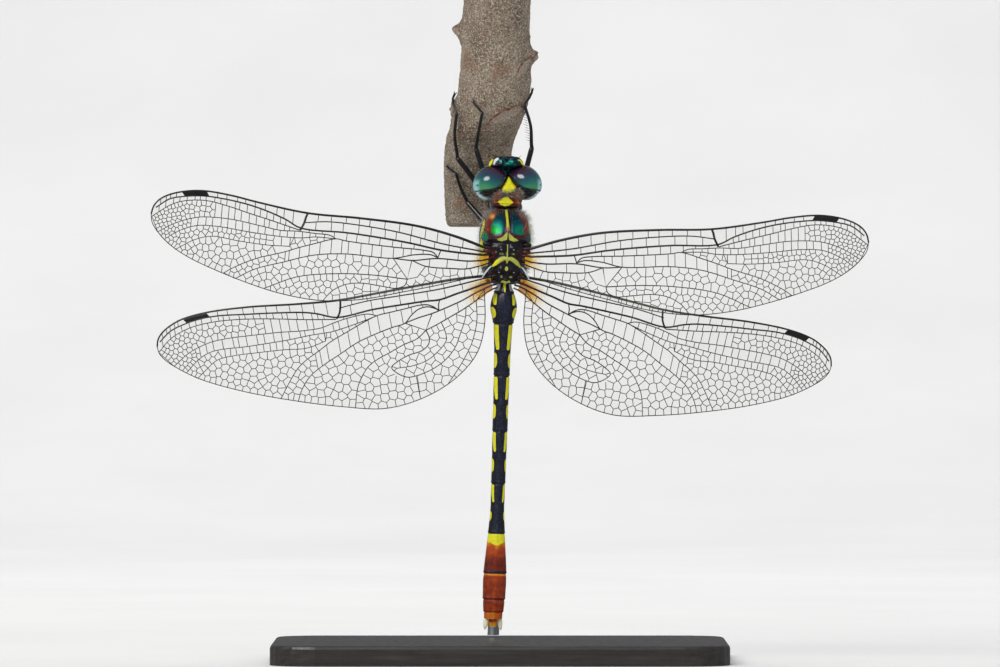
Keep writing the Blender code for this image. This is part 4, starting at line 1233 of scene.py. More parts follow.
def ball(centre, radii, power=2.0, segments=96, rings=64):
    """Unit directions and points of an ellipsoid whose outline across X and Z may be squarer."""
    down = np.linspace(0.002, math.pi - 0.002, rings)
    around = 2 * math.pi * np.arange(segments) / segments
    unit = np.stack([np.outer(np.sin(down), np.cos(around)), np.outer(np.sin(down),
                     np.sin(around)), np.outer(np.cos(down), np.ones(segments))], axis=2)
    unit = unit.reshape(-1, 3)
    corner = (np.abs(unit[:, 0]) ** power + np.abs(unit[:, 2]) ** power) ** (1 / power)
    swell = np.where(corner > 0, np.hypot(unit[:, 0], unit[:, 2]) / np.maximum(corner, 1e-9), 1)
    points = np.array(centre) + unit * np.array(radii) * np.stack(
        [swell, np.ones(len(unit)), swell], axis=1)
    return unit, points, grid_faces(rings, segments, closed=True)


def skull_piece():
    unit, points, faces = ball(*SKULL, segments=90, rings=50)
    x, y, _ = points.T
    cream = np.minimum(blob(np.abs(x), y, (3.0, 0.9), (0.45, 0.8)), -unit[:, 2] - 0.2)
    red = 0.45 * ridge(x / 1.7, 0.9) * step(-unit[:, 2], 0.0, 0.5)
    return points, faces, marks_on(len(x), cream=cream, red=red, warm=0.15)


def occiput_piece(rings=56, count=130):
    """The yellow triangle behind the eyes' seam and the downy brown lobes below it."""
    points = ovals(smooth_rows(OCCIPUT, rings), OCCIPUT_POWER, count)
    x, y, z = points.T
    lobes = (mound(x, z, (-1.35, 5.95), 0.55, (1, 1.3)) + mound(x, z, (0.85, 5.95), 0.50, (1, 1.3))
             + 0.8 * mound(x, z, (-0.3, 5.55), 0.45, (1, 1.3)))
    triangle = patch(x, z, ((0.02, 8.05), (0.13, 8.05), (0.38, 7.35), (0.70, 6.93), (0.60, 6.62),
                            (0.36, 6.36), (-0.22, 6.20), (-0.86, 6.36), (-0.82, 6.70),
                            (-0.72, 6.95), (-0.38, 7.40)))
    rim = -0.12 * ridge(triangle, 0.10) + 0.05 * step(triangle, 0.0, 0.2)
    points[:, 1] -= (0.22 * lobes + rim) * (y < -0.8)
    near = ridge(np.maximum(-triangle, 0.0), 0.10)
    marks = marks_on(len(x), yellow=np.where(y < -0.7, triangle, -1.0),
                     red=np.clip(0.75 * (1 - near), 0, 1), warm=np.clip(0.06 + 0.42 * lobes, 0, 1))
    return points, capped_faces(rings, count), marks


def frons_piece():
    unit, points, faces = ball(*FRONS, segments=120, rings=80)
    x, y, z = points.T
    side = np.abs(x)
    furrow = 0.24 * ridge(x, 0.20) * step(-unit[:, 1], -0.2, 0.5) * step(z, 9.0, 9.6)
    pits = 0.035 * np.sin(9 * x + 3 * z) * np.sin(8 * z - 2 * x + 5 * y)
    lumps = -0.10 * mound(side, z, (0.62, 9.72), 0.34)
    rims = -0.07 * ridge(z - 10.08, 0.10) * (y < 0)
    points = points - unit * (furrow + pits + lumps + rims)[:, None]
    points[:, 1] += 1.3 * step(9.30 - z, 0.0, 0.55) * step(-y, 0.6, 1.3)
    metal = np.minimum(1.12 - side - 0.25 * step(z, 9.9, 10.2), 10.10 - z)
    # The two bright spots in the hue are painted glints on the metal.
    hue = (0.12 + 0.30 * np.sin(6.1 * x + 0.6) * np.sin(6.3 * z + 2.0 * y)
           + 0.60 * mound(x, z, (-0.58, 9.60), 0.26) + 0.40 * mound(x, z, (0.38, 9.62), 0.26))
    left = stroke(x, z, ((-2.12, 9.30), (-1.97, 9.60), (-1.76, 9.92)), (0.15, 0.17, 0.13))
    right = stroke(x, z, ((0.95, 9.86), (1.33, 9.80), (1.66, 9.36)), (0.05, 0.10, 0.14))
    # The pale inner edge of the left yellow stroke is a painted highlight.
    pale = stroke(x, z, ((-1.62, 9.48), (-1.45, 9.82), (-1.12, 10.02)), (0.08, 0.13, 0.09))
    above = -y - 0.05
    yellow = np.maximum(np.minimum(np.maximum(left, right), above),
                        np.minimum(y - 0.10, 1.5 - side))
    return points, faces, marks_on(len(x), metal=metal, hue=np.clip(hue, 0.0, 0.64),
                                   cream=np.minimum(pale, above), yellow=yellow)


def vertex_piece():
    _, points, faces = ball(*VERTEX, segments=60, rings=40)
    hue = np.clip(0.15 + 0.5 * step(points[:, 2], 9.2, 9.5), 0, 1)
    return points, faces, marks_on(len(points), metal=1.0, hue=hue)


def face_piece():
    """Clypeus above, labrum below, with the mandibles at their sides."""
    unit, points, faces = ball(*FACE, segments=90, rings=54)
    x, y, _ = points.T
    side = np.abs(x)
    creases = 0.09 * ridge(y - 0.85 - 0.12 * side, 0.06) + 0.11 * ridge(y - 1.45, 0.06)
    creases += 0.08 * ridge(side - 1.15, 0.06) * (y > 1.4)
    clypeus = np.minimum(0.80 + 0.12 * side - y, 1.45 - side)
    labrum = np.minimum.reduce([y - 1.5, 2.05 - y, 0.95 - side, side - 0.12])
    mandible = blob(side, y, (1.42, 1.75), (0.16, 0.35))
    marks = marks_on(len(x), yellow=np.maximum.reduce([clypeus, labrum, mandible]),
                     red=0.7 * ridge(y - 1.15, 0.22), warm=0.5)
    return points - unit * creases[:, None], faces, marks


def labium_piece():
    unit, points, faces = ball(*LABIUM, segments=50, rings=36)
    side, z = np.abs(points[:, 0]), points[:, 2]
    groove = 0.10 * ridge(side - 0.42 - 0.1 * (z - 8), 0.06)
    lobes = blob(side, z, (0.95, 8.2), (0.32, 0.75))
    marks = marks_on(len(z), red=0.9, warm=0.65, yellow=lobes)
    return points - unit * groove[:, None], faces, marks


def plain_piece(centre, radii, power, segments, rings, **marks):
    """An ellipsoid with the same marks all over."""
    _, points, faces = ball(centre, radii, power, segments, rings)
    return points, faces, marks_on(len(points), **marks)


def cheek_piece():
    return plain_piece(*CHEEK, 50, 36, red=0.35, warm=0.3)


def neck_piece(rings=16, count=60):
    """The soft neck between the head and the front ring of the thorax."""
    rows = smooth_rows(NECK_ROWS, rings)
    rows[:, 1] *= 1 + 0.03 * np.sin(14 * rows[:, 0])
    points = ovals(rows, 2.0, count) + (0.0, -0.1, 0.0)
    return points, grid_faces(rings, count, closed=True), marks_on(len(points), red=0.55, warm=0.35)


def eye_points(side, shrink=0.02):
    """An ellipsoid that stops at the other eye; behind its margin the smooth temple lies lower."""
    unit, points, faces = ball((0, 0, 0), np.array(EYE_RADII) - shrink, segments=220, rings=150)
    turn = np.array(Matrix.Rotation(side * EYE_LEAN, 3, "Z")
                    @ Matrix.Rotation(side * EYE_SWEEP, 3, "Y"))
    points = points @ turn.T + np.array((side * EYE_CENTRE[0], *EYE_CENTRE[1:]))
    normal = (unit / np.array(EYE_RADII)) @ turn.T
    normal /= lengthwise(normal)
    beyond = on_line(side * points[:, 0], np.array(EYE_MARGIN)) - points[:, 2]
    depth = 0.11 * step(beyond, 0.02, 0.16) + 0.05 * ridge(beyond - 0.55, 0.10)
    points = points - normal * depth[:, None]
    across = side * points[:, 0]
    points[:, 0] = side * np.where(across < 0.05, 0.012 + 0.02 * across, across)
    return points, normal, faces, beyond


def build_eyes(paint):
    for side, word in SIDES:
        points, normal, faces, beyond = eye_points(side)
        across, height = side * points[:, 0], points[:, 2]
        tone = (height - 6.5) / 3.3 + 0.32 * (1 - across / 3.6)
        away = normal @ np.array(head_pose().to_3x3())[1]
        # Painted sky reflection: a pale rim where the dome turns side-on to the camera, and a pale
        # crescent low on the outer side, partly the eye's own pale edge.
        edge = 0.6 * step(away, -0.36, -0.08) * step(0.36 - away, 0.0, 0.34)
        crescent = step(away - 0.20 * step(beyond, 0.0, 0.3), *SHEEN_CRESCENT[word])
        crescent *= step(7.75 - height, -0.2, 0.5) * step(across, 1.9, 2.7)
        values = {"tone": np.clip(tone, 0, 1),
                  "pale": np.maximum(edge, crescent * step(0.42 - away, 0.0, 0.40)),
                  "temple": step(beyond, 0.04, 0.10),
                  "speck": mound(across, height, (3.50, 7.12), 0.13) * (away < 0),
                  "rim": np.clip(ridge(beyond, 0.10) + ridge(across, 0.07), 0, 1)}
        make_piece(f"eye_{word}_dome", Shell().add(points, faces).moved(head_pose()), paint,
                   [f"eye_{word}"], values)


def build_feelers(paint):
    """Short bristle-like antennae on their two thick lower joints."""
    for side, word in SIDES:
        shell = Shell()
        rod(shell, [(side * x, *rest) for x, *rest in FEELER], 22, 10, (0.3, 0.2, 1.0))
        make_piece(f"antenna_{word}_bristle", shell.moved(head_pose()), paint,
                   [f"antenna_{word}"])


# ---------------------------------------------------------------- the one skin

def hinge_pads():
    """Small plates and a pale cord that carry the wings' roots on the thorax."""
    pads = []
    for side, _ in SIDES:
        cord = Shell()
        rod(cord, [(side * x, *rest) for x, *rest in HINGE_CORD], 16, 10, (0.2, -1.0, 0.1))
        pads.append((cord.array(), cord.faces, marks_on(cord.count, cream=1.0)))
        for (x, *rest), radii, warm in HINGE_PADS:
            pads.append(plain_piece((side * x, *rest), radii, 2.0, 24, 16,
                                    red=0.55 if warm else 0.12, warm=0.5 * warm))
    return pads


def build_skin(paint):
    """Head, thorax and abdomen in one piece, with the marks kept on its points."""
    shell = Shell()
    stored = {name: [] for name in MARKS}
    in_head = [make() for make in (skull_piece, occiput_piece, frons_piece, vertex_piece,
                                   face_piece, labium_piece, cheek_piece, neck_piece)]
    in_body = [make() for make in (thorax_shell, prothorax_shell, abdomen_shell,
                                   epiproct_piece)]
    for pieces, pose in ((in_head, head_pose()), (in_body + hinge_pads(), body_pose())):
        for points, faces, marks in pieces:
            shell.add(placed(points, pose), faces)
            for name in MARKS:
                stored[name].append(marks[name])
    nodes = ["head", "frons", "face", "labium", "prothorax", "thorax", "epiproct"]
    nodes += [f"abdomen_s{k}" for k in range(1, len(SEGMENTS) + 1)]
    make_piece("body_skin", shell, paint, nodes,
               {name: np.concatenate(parts) for name, parts in stored.items()})


def build_tail(paint):
    """The two pale claspers; the plate between them is built with the skin."""
    for side, word in SIDES:
        shell = Shell()
        rod(shell, [(side * x + TAIL_SHIFT, y, ABDOMEN_END + z, radius)
                    for x, y, z, radius in CERCUS], 30, 20, (0.0, -1.0, 0.0), 0.8)
        make_piece(f"cercus_{word}_leaf", shell.moved(body_pose()), paint, [f"cercus_{word}"])


def epiproct_piece():
    _, points, faces = ball((TAIL_SHIFT, 0.02, ABDOMEN_END - 0.25), (0.50, 0.32, 0.78),
                            segments=60, rings=40)
    points[:, 1] += 0.05 * ridge(points[:, 0] - TAIL_SHIFT, 0.12)
    below = ABDOMEN_END - points[:, 2]
    return points, faces, marks_on(len(points), red=0.95, cream=0.5 * (below - 0.84),
                                   warm=np.clip(0.45 + 0.70 * below, 0.6, 1.0))


# ---------------------------------------------------------------- twig

# Middle line and half-thickness from the sawn top to the level lower end.
TWIG = ((-0.2, -5.0, 75.2, 3.85), (-0.3, -3.9, 71.5, 3.85), (-0.5, -2.3, 67.0, 3.95),
        (-0.7, -0.4, 62.2, 4.15), (-1.4, 1.4, 59.4, 4.05), (-2.3, 3.6, 57.0, 3.90),
        (-2.5, 6.1, 53.9, 3.90), (-2.3, 8.6, 50.6, 3.95), (-2.0, 10.6, 47.9, 4.00))
# Swellings: height, direction, reach and spread.
KNOBS = ((69.3, 180, 1.0, 0.8), (66.4, -8, 0.9, 0.8), (61.0, 192, 0.5, 1.0),
         (60.4, -35, 0.6, 1.2), (51.5, 60, 0.6, 1.0))
# Leaf scars: height, direction, half-width and half-height of a crescent plate, and its slant.
SCARS = ((60.05, -60, 1.60, 0.70, 0.42), (65.1, -36, 1.15, 0.75, 0.75),
         (61.3, -112, 0.60, 0.26, -0.5), (68.9, 184, 0.6, 0.9, 0.0), (60.7, -168, 0.55, 0.9, 0.3),
         (66.5, -6, 0.6, 0.5, 0.0), (62.1, -126, 0.42, 0.22, -0.4), (55.2, -72, 1.0, 0.35, 0.2))
TWIG_ROWS = smooth_rows(TWIG, 240)[::-1]
TWIG_HALF = 3.9                          # about its half-thickness
BARK_SINK = -0.18                        # where plain bark lies against the solid
WORN_ENDS = (1.0, 0.45, 0.15)            # how worn the outermost rings are, from the end inwards
WORN_DEPTH = 0.22
SAW_RIPPLE = 0.03
NO_SCAR = -9.0


def twig_middle(height):
    rows = TWIG_ROWS
    return [np.interp(height, rows[:, 2], rows[:, k]) for k in (0, 1, 3)] + [
        np.interp(height, rows[:, 2], np.gradient(rows[:, 1], rows[:, 2]))]


def twig_radius(thickness, height, angle):
    """Half-thickness of the twig in one direction, with its swellings."""
    radius = thickness * (1 + 0.015 * np.sin(3 * angle + 0.6 * height))
    for place, direction, reach, spread in KNOBS:
        turn = wrapped(angle - math.radians(direction))
        radius = radius + reach * np.exp(-((turn * thickness) ** 2 + (height - place) ** 2)
                                         / spread ** 2)
    return radius


def twig_point(height, angle, lift=0.0):
    """Points at a height, in one direction, that far off the bark."""
    x, y, thickness, lean = twig_middle(height)
    radius = twig_radius(thickness, height, angle) + lift
    return np.stack([x + radius * np.cos(angle), y + radius * np.hypot(1.0, lean)
                     * np.sin(angle), height + 0 * radius], axis=-1)


def scar_field(height, angle):
    """Distance inside the nearest scar, and inside the crescent along its upper edge."""
    plate = crescent = np.full(height.shape, NO_SCAR)
    for place, direction, width, tall, slant in SCARS:
        turn = wrapped(angle - math.radians(direction)) * TWIG_HALF
        above = height - place - slant * turn
        disc = (1 - np.hypot(turn / width, above / tall)) * min(width, tall)
        top = (1 - np.hypot(turn / width, (above + 0.35 * tall) / tall)) * min(width, tall)
        plate = np.maximum(plate, disc)
        crescent = np.maximum(crescent, np.minimum(disc + 0.10, -top - 0.02))
    return plate, crescent


def bark_relief(heights, angles):
    """How far the bark stands off the twig, and how far inside its scars a place lies."""
    base = [Vector(point) for point in twig_point(heights, angles).reshape(-1, 3)]
    ragged, rough, fine = (
        np.array([read(point * scale) for point in base]).reshape(heights.shape)
        for read, scale in ((lambda place: noise.fractal(place, 0.8, 2.0, 3), 1.6),
                            (lambda place: noise.fractal(place, 0.8, 2.0, 4), 0.9),
                            (noise.noise, 4.2)))
    plate, crescent = scar_field(heights + 0.22 * ragged, angles + 0.05 * ragged)
    plate, crescent = plate + 0.12 * ragged, crescent + 0.16 * ragged - 0.02
    lift = BARK_SINK + 0.08 * rough + 0.075 * fine
    lift += 0.11 * step(plate, -0.05, 0.12) - 0.10 * step(plate, 0.15, 0.35)
    lift += 0.10 * step(crescent, -0.04, 0.06)
    for k, share in enumerate(WORN_ENDS):
        lift[[k, -1 - k]] -= WORN_DEPTH * share
    return lift, plate, crescent


def build_twig(paint, rings=250, sides=190):
    heights, angles = np.meshgrid(np.linspace(TWIG[-1][2], TWIG[0][2], rings),
                                  2 * math.pi * np.arange(sides) / sides, indexing="ij")
    lift, plate, crescent = bark_relief(heights, angles)
    points = twig_point(heights, angles, lift)
    shell = Shell().add(points, grid_faces(rings, sides, closed=True))
    shares = np.linspace(1.0, 0.02, 26)
    for row, ripple in ((points[0], SAW_RIPPLE), (points[-1], -SAW_RIPPLE)):
        middle = row.mean(axis=0)
        disc = middle + (row[None] - middle) * shares[:, None, None]
        disc[:, :, 2] += ripple * np.sin(12 * shares)[:, None] * (shares[:, None] < 0.99)
        shell.add(disc, grid_faces(len(shares), sides, closed=True))
    cut = np.tile(np.repeat(2.0 - shares, sides), 2)
    bare = np.full(len(cut), NO_SCAR)
    values = {"end": np.concatenate([np.zeros(rings * sides), cut]),
              "scar": np.concatenate([plate.ravel(), bare]),
              "rim": np.concatenate([crescent.ravel(), bare])}
    make_piece("twig_bark", shell, paint, ["perch_twig"], values)


# ---------------------------------------------------------------- legs

# For each leg: hip, trochanter and knee, then ankle and toe as height and direction on the twig.
LEGS = {
    "leg_left_front": ((-0.55, -1.65, 50.0), (-0.95, -1.20, 50.9), (-2.64, -2.25, 56.3),
                       (60.2, -100), (61.3, -119)),
    "leg_right_front": ((1.75, -1.65, 50.0), (2.05, -1.20, 50.9), (3.50, -2.25, 56.4),
                        (61.1, -43), (62.8, -6)),
    "leg_left_middle": ((-0.75, -0.20, 48.6), (-1.05, 0.45, 50.6), (-4.69, -0.95, 55.3),
                        (60.2, -143), (62.3, -173)),
    "leg_right_middle": ((1.75, -0.20, 48.6), (2.05, 0.45, 50.4), (2.95, 1.90, 53.9),
                         (54.9, 16), (55.4, 60)),
    "leg_left_hind": ((-0.75, 0.25, 46.6), (-1.00, 0.95, 47.5), (-3.63, 2.60, 50.5),
                      (53.7, -123), (54.4, -146)),
    "leg_right_hind": ((1.75, 0.25, 46.6), (1.90, 0.95, 47.2), (2.05, 4.20, 49.2),
                       (51.0, 10), (51.9, 50)),
}
SHIN_BOW = 0.06                          # how far a shin bends outward, as a share of its length
THIGH = ((0.0, 0.30), (0.25, 0.35), (0.7, 0.29), (0.95, 0.28), (1.0, 0.24))   # share, radius
ANKLE_LIFT = 0.42                        # how far an ankle's middle lies off the bark
LIMB_UP = (0.0, -1.0, 0.2)
FOOT_UP = (0.3, -1.0, 0.2)
BODY_INSIDE = np.array((0.55, -4.4, 0.0))       # the line inside the thorax that hips come from


def on_twig(height, degrees, lift):
    return twig_point(np.array(height), np.array(math.radians(degrees)), lift)


def spike_row(shell, start, end, outward, count, length, radius):
    """Spines along a limb, leaning towards its end."""
    along = (end - start) / np.linalg.norm(end - start)
    for k, share in enumerate(np.linspace(0.10, 0.92, count)):
        root = start + (end - start) * share
        lean = (outward + 0.45 * along) / np.linalg.norm(outward + 0.45 * along)
        reach = length * (0.8 + 0.2 * math.sin(2.4 * k)) * (1 - 0.25 * share)
        points = np.array([root, root + lean * reach * 0.5, root + lean * reach])
        tube(shell, points, (radius, radius * 0.7, radius * 0.15), sides=5, up=(0.21, 0.4, 0.9))


def add_shin(shell, knee, ankle):
    """A slender shin that bows away from the twig's middle."""
    shin = ankle - knee
    twig_axis = np.array((twig_middle(float(knee[2]))[0], 2.0, knee[2]))
    inward = twig_axis - (knee + ankle) / 2 + (0.0, -1.5, 0.0)
    inward -= shin * (inward @ shin) / (shin @ shin)
    inward /= np.linalg.norm(inward)
    bowed = knee + 0.5 * shin - SHIN_BOW * np.linalg.norm(shin) * inward
    rod(shell, [(*(knee - 0.02 * shin), 0.21), (*(knee + 0.05 * shin), 0.20),
                (*bowed, 0.17), (*ankle, 0.165)], 26, 12, LIMB_UP)


def add_foot(shell, ankle, toe):
    """Three joints along the bark and two claws; the places are heights and directions on it."""
    ankle, middle, near, toe = (
        on_twig(*(a * (1 - share) + t * share for a, t in zip(ankle, toe)), lift)
        for share, lift in ((0.0, ANKLE_LIFT), (0.5, 0.24), (0.8, 0.16), (1.0, 0.10)))
    for start, end in ((ankle, middle), (middle, near), (near, toe)):
        run = end - start
        rod(shell, [(*(start - 0.03 * run), 0.105), (*(start + 0.3 * run), 0.125),
                    (*end, 0.145)], 10, 10, FOOT_UP)
    heel = (toe - near) / np.linalg.norm(toe - near)
    for spread in (-1, 1):
        fork = np.cross(heel, (0.0, -1.0, 0.0)) * 0.16 * spread
        rod(shell, [(*toe, 0.07), (*(toe + heel * 0.22 + fork), 0.05),
                    (*(toe + heel * 0.42 + fork * 1.3), 0.015)], 10, 8, FOOT_UP)


def build_legs(paint):
    for name, (*joints, heel, toe) in LEGS.items():
        hip, trochanter, knee = (np.array(joint) for joint in joints)
        ankle = on_twig(*heel, ANKLE_LIFT)
        root = BODY_INSIDE + (0, 0, hip[2] - 0.9)
        shell = Shell()
        rod(shell, [(*root, 0.60), (*(root * 0.35 + hip * 0.65), 0.56), (*hip, 0.40),
                    (*trochanter, 0.33)], 16, 14, (0.1, 0.2, 1.0))
        rod(shell, [(*(trochanter + share * (knee - trochanter)), radius)
                    for share, radius in THIGH], 30, 14, LIMB_UP)
        add_shin(shell, knee, ankle)
        add_foot(shell, heel, toe)
        inner = math.copysign(1.0, BODY_INSIDE[0] - hip[0])
        for back in (-0.35, 0.5):
            leaning = np.array((inner, back, 0.0))
            spike_row(shell, knee + 0.05 * (ankle - knee), ankle, leaning, 14, 0.72, 0.028)
            spike_row(shell, trochanter, knee, leaning, 9, 0.40, 0.026)
        parts = [f"{name}_{part}" for part in ("femur", "tibia", "tarsus")]
        make_piece(f"{name}_limb", shell, paint, parts)


# ---------------------------------------------------------------- hair

# A hair's rings as shares of its length and its radius, and the directions of its corners.
HAIR_RINGS = ((0.0, 1.0), (0.5, 0.75), (1.0, 0.12))
HAIR_TURNS = (0.0, 2.1, 4.2)
HAIR_POINTS = len(HAIR_RINGS) * len(HAIR_TURNS)
HAIR_DROOP = 0.22                        # how far its tip strays, as a share of its length
MAP_PATCH = 0.0015                       # the reach of a hair's patch on the map


def build_hair(name, roots, leans, lengths, places, pose, paint, radius):
    """Fine tapering hairs; each one's patch of the map lies at its root's place."""
    count = len(roots)
    roots, leans = placed(roots, pose), turned(leans, pose)
    lean = leans / lengthwise(leans)
    side = np.cross(lean, DICE.normal(size=(count, 3)))
    side /= lengthwise(side)
    other = np.cross(lean, side)
    droop = HAIR_DROOP * lengths[:, None] * DICE.normal(size=(count, 3))
    rows = []
    for share, thin in HAIR_RINGS:
        centre = roots + lean * (lengths * share)[:, None] + droop * share ** 2
        for turn in HAIR_TURNS:
            rows.append(centre + radius * thin * (side * math.cos(turn) + other * math.sin(turn)))
    points = np.stack(rows, axis=1).reshape(-1, 3)
    one = grid_faces(len(HAIR_RINGS), len(HAIR_TURNS), closed=True)
    faces = [tuple(HAIR_POINTS * k + c for c in face) for k in range(count) for face in one]
    shell = Shell().add(points, faces)
    mesh = make_piece(name, shell, paint,
                      values={"tint": np.repeat(DICE.random(count), HAIR_POINTS)}).data
    turns = 0.7 * np.arange(HAIR_POINTS)
    offset = MAP_PATCH * np.stack([np.cos(turns), np.sin(turns)], axis=1)
    spread = (places[:, None] + offset[None]).reshape(-1, 2)
    corners = np.empty(len(mesh.loops), dtype=np.int32)
    mesh.loops.foreach_get("vertex_index", corners)
    unwrap = mesh.uv_layers.new(name="OFBake")
    unwrap.data.foreach_set("uv", spread[corners].astype(np.float32).ravel())


def sections_at(rows, height, *columns):
    """What smooth sections hold at each height."""
    rows = smooth_rows(rows, 118)[::-1]
    return [np.interp(height, rows[:, 0], rows[:, k]) for k in columns]


def thorax_hair(paint, count=2600):
    """A grey fringe on the front and the flanks of the thorax."""
    tries = count * 3
    height = DICE.uniform(-3.0, 4.55, tries)
    angle = DICE.uniform(0, 2 * math.pi, tries)
    density = 0.10 + 0.9 * step(height, 3.2, 4.4) + 0.35 * step(np.abs(np.cos(angle)), 0.45, 0.8)
    density *= np.where((np.sin(angle) > 0.55) & (height < 3.6), 0.12, 1.0)
    kept = np.nonzero(DICE.random(tries) < density)[0][:count]
    height, angle = height[kept], angle[kept]
    width, rise, drop = sections_at(THORAX, height, 1, 2, 3)
    across, up = squared(angle, THORAX_POWER)
    roots = np.stack([width * across, -up * np.where(up > 0, rise, drop), height], axis=1) * 0.955
    leans = np.stack([across / width * 3, -up, 0.10 + 0.25 * (height - 0.5)], axis=1)
    leans += 0.25 * DICE.normal(size=leans.shape)
    lengths = DICE.uniform(0.32, 0.74, len(roots)) * np.where(up > 0.8, 0.6, 1.0)
    places = np.stack([0.01 + 0.98 * angle / (2 * math.pi), 0.1 + 0.8 * (height + 3.7) / 8.3], 1)
    build_hair("thorax_hair", roots, leans, lengths, places, body_pose(), paint, 0.012)


def head_hair(paint, count=2400):
    """Short dense down on the back of the head, around and below the yellow triangle."""
    tries = count * 3
    height = DICE.uniform(5.45, 6.95, tries)
    across = DICE.uniform(-0.95, 0.95, tries)
    width, rise, shift = sections_at(OCCIPUT, height, 1, 2, 4)
    x = across * width + shift
    bare = (height > 6.05) & (np.abs(x + 0.1) < 0.35 + 0.85 * (height - 6.0))
    bare &= DICE.random(len(x)) > 0.34 * (height < 6.70)
    kept = np.nonzero(~bare)[0][:count]
    x, height, across, rise = x[kept], height[kept], across[kept], rise[kept]
    y = -rise * (1 - np.abs(across) ** OCCIPUT_POWER) ** (1 / OCCIPUT_POWER) + 0.04
    roots = np.stack([x, y, height], axis=1)
    leans = np.stack([across * 0.8, np.full(len(x), -0.8), 0.5 * (height - 6.3) - 0.3], axis=1)
    leans += 0.30 * DICE.normal(size=leans.shape)
    lengths = DICE.uniform(0.20, 0.46, len(x))
    places = np.stack([0.5 + 0.2 * x, (height - 5.0) / 2.1], axis=1)
    build_hair("head_hair", roots, leans, lengths, places, head_pose(), paint, 0.014)


# ---------------------------------------------------------------- materials of the body

def chitin_material():
    paint = Paint("chitin", Coat_Weight=0.15, Coat_Roughness=0.12, Specular_IOR_Level=0.32)
    cloud = paint.noise(0.55, detail=5)
    grain = paint.noise(0.07, detail=2)
    wobble = paint.swing(paint.noise(0.22, detail=3), 0.10)
    black = paint.colours(cloud, ((0.3, (0.005, 0.004, 0.006)), (0.6, (0.010, 0.009, 0.013)),
                                  (0.85, (0.026, 0.022, 0.032))))
    # A painted sheen along the back of the abdomen with flecks of painted glint; on the tail the
    # same blue is the dark bands' own blue-black.
    glint_flecks = paint.ramp(paint.noise(0.16, detail=3), 0.46, 0.62)
    blue = paint.mix(glint_flecks, (0.007, 0.009, 0.022), (0.034, 0.048, 0.095))
    colour = paint.over(black, paint.read("blue"), 0.65, blue)
    warmth = paint.sum(paint.read("warm"), paint.swing(cloud, 0.65))
    brown = paint.colours(warmth, ((0.0, (0.055, 0.008, 0.006)), (0.25, (0.200, 0.020, 0.005)),
                                   (0.55, (0.430, 0.064, 0.005)), (0.85, (0.760, 0.270, 0.012)),
                                   (1.0, (0.860, 0.480, 0.020))))
    colour = paint.mix(paint.read("red"), colour, brown)
    metal = paint.ramp(paint.sum(paint.read("metal"), wobble), -0.10, 0.14)
    hue = paint.sum(paint.read("hue"), paint.swing(cloud, 0.35))
    sheen = paint.colours(hue, ((0.0, (0.004, 0.010, 0.030)), (0.22, (0.002, 0.060, 0.095)),
                                (0.42, (0.002, 0.160, 0.150)), (0.62, (0.006, 0.290, 0.200)),
                                (0.80, (0.006, 0.290, 0.075)), (1.0, (0.014, 0.390, 0.040))))
    colour = paint.mix(metal, colour, sheen)
    yellow = paint.ramp(paint.sum(paint.read("yellow"), wobble), -0.025, 0.025)
    gold = paint.colours(paint.noise(0.35, detail=4), ((0.3, (0.64, 0.60, 0.010)),
                                                       (0.7, (0.80, 0.76, 0.022))))
    gold = paint.over(gold, paint.read("leaf"), 0.85, (0.31, 0.35, 0.085))
    colour = paint.mix(yellow, colour, gold)
    # Real pale marks, also used for painted glints on the notum and a painted highlight on the
    # frons.
    cream = paint.ramp(paint.read("cream"), -0.02, 0.03)
    colour = paint.mix(cream, colour, (0.64, 0.68, 0.70))
    paint.colour(paint.over(colour, paint.read("dull"), 0.9, (0.24, 0.08, 0.13)))
    shine = paint.times(metal, paint.sum(1.0, yellow, "SUBTRACT"))
    paint.drive("Metallic", paint.times(shine, 0.62))
    paint.drive("Roughness", paint.sum(paint.times(grain, 0.14), paint.sum(
        paint.sum(0.26, paint.times(shine, 0.08)), paint.times(yellow, 0.10))))
    paint.bump(paint.sum(grain, paint.times(cloud, 1.5)), 0.45, 0.03)
    return paint.material


def eye_material():
    paint = Paint("eye", Roughness=0.14, Coat_Weight=0.7, Coat_Roughness=0.05, IOR=1.5)
    cloud = paint.noise(1.1, detail=2)
    tone = paint.sum(paint.read("tone"), paint.swing(cloud, 0.08))
    colour = paint.colours(tone, ((0.0, (0.060, 0.300, 0.110)), (0.18, (0.055, 0.270, 0.110)),
                                  (0.38, (0.012, 0.130, 0.105)), (0.54, (0.010, 0.060, 0.090)),
                                  (0.68, (0.014, 0.034, 0.066)), (0.84, (0.034, 0.010, 0.028)),
                                  (1.0, (0.012, 0.004, 0.009))))
    # pale is a painted sky reflection on the rim and the crescent, partly the crescent's own pale
    # colour.
    edge = paint.over(colour, paint.read("pale"), 0.9, (0.30, 0.64, 0.70))
    temple = paint.mix(paint.read("pale"), (0.004, 0.004, 0.006), (0.52, 0.76, 0.82))
    colour = paint.mix(paint.read("temple"), edge, temple)
    colour = paint.mix(paint.read("speck"), colour, (0.05, 0.06, 0.06))
    paint.colour(paint.mix(paint.read("rim"), colour, (0.005, 0.005, 0.007)))
    paint.bump(paint.cells(0.05, jitter=0.25), 0.25, 0.01)
    return paint.material


def black_material():
    return cloudy("leg_black", dict(size=0.5, detail=4),
                  ((0.3, (0.004, 0.004, 0.006)), (0.6, (0.010, 0.009, 0.011)),
                   (0.85, (0.036, 0.024, 0.020))),
                  (dict(size=0.10, detail=3), 0.5, 0.03), (dict(size=0.15), 0.2, 0.8, 0.24, 0.42),
                  Coat_Weight=0.3, Coat_Roughness=0.15)


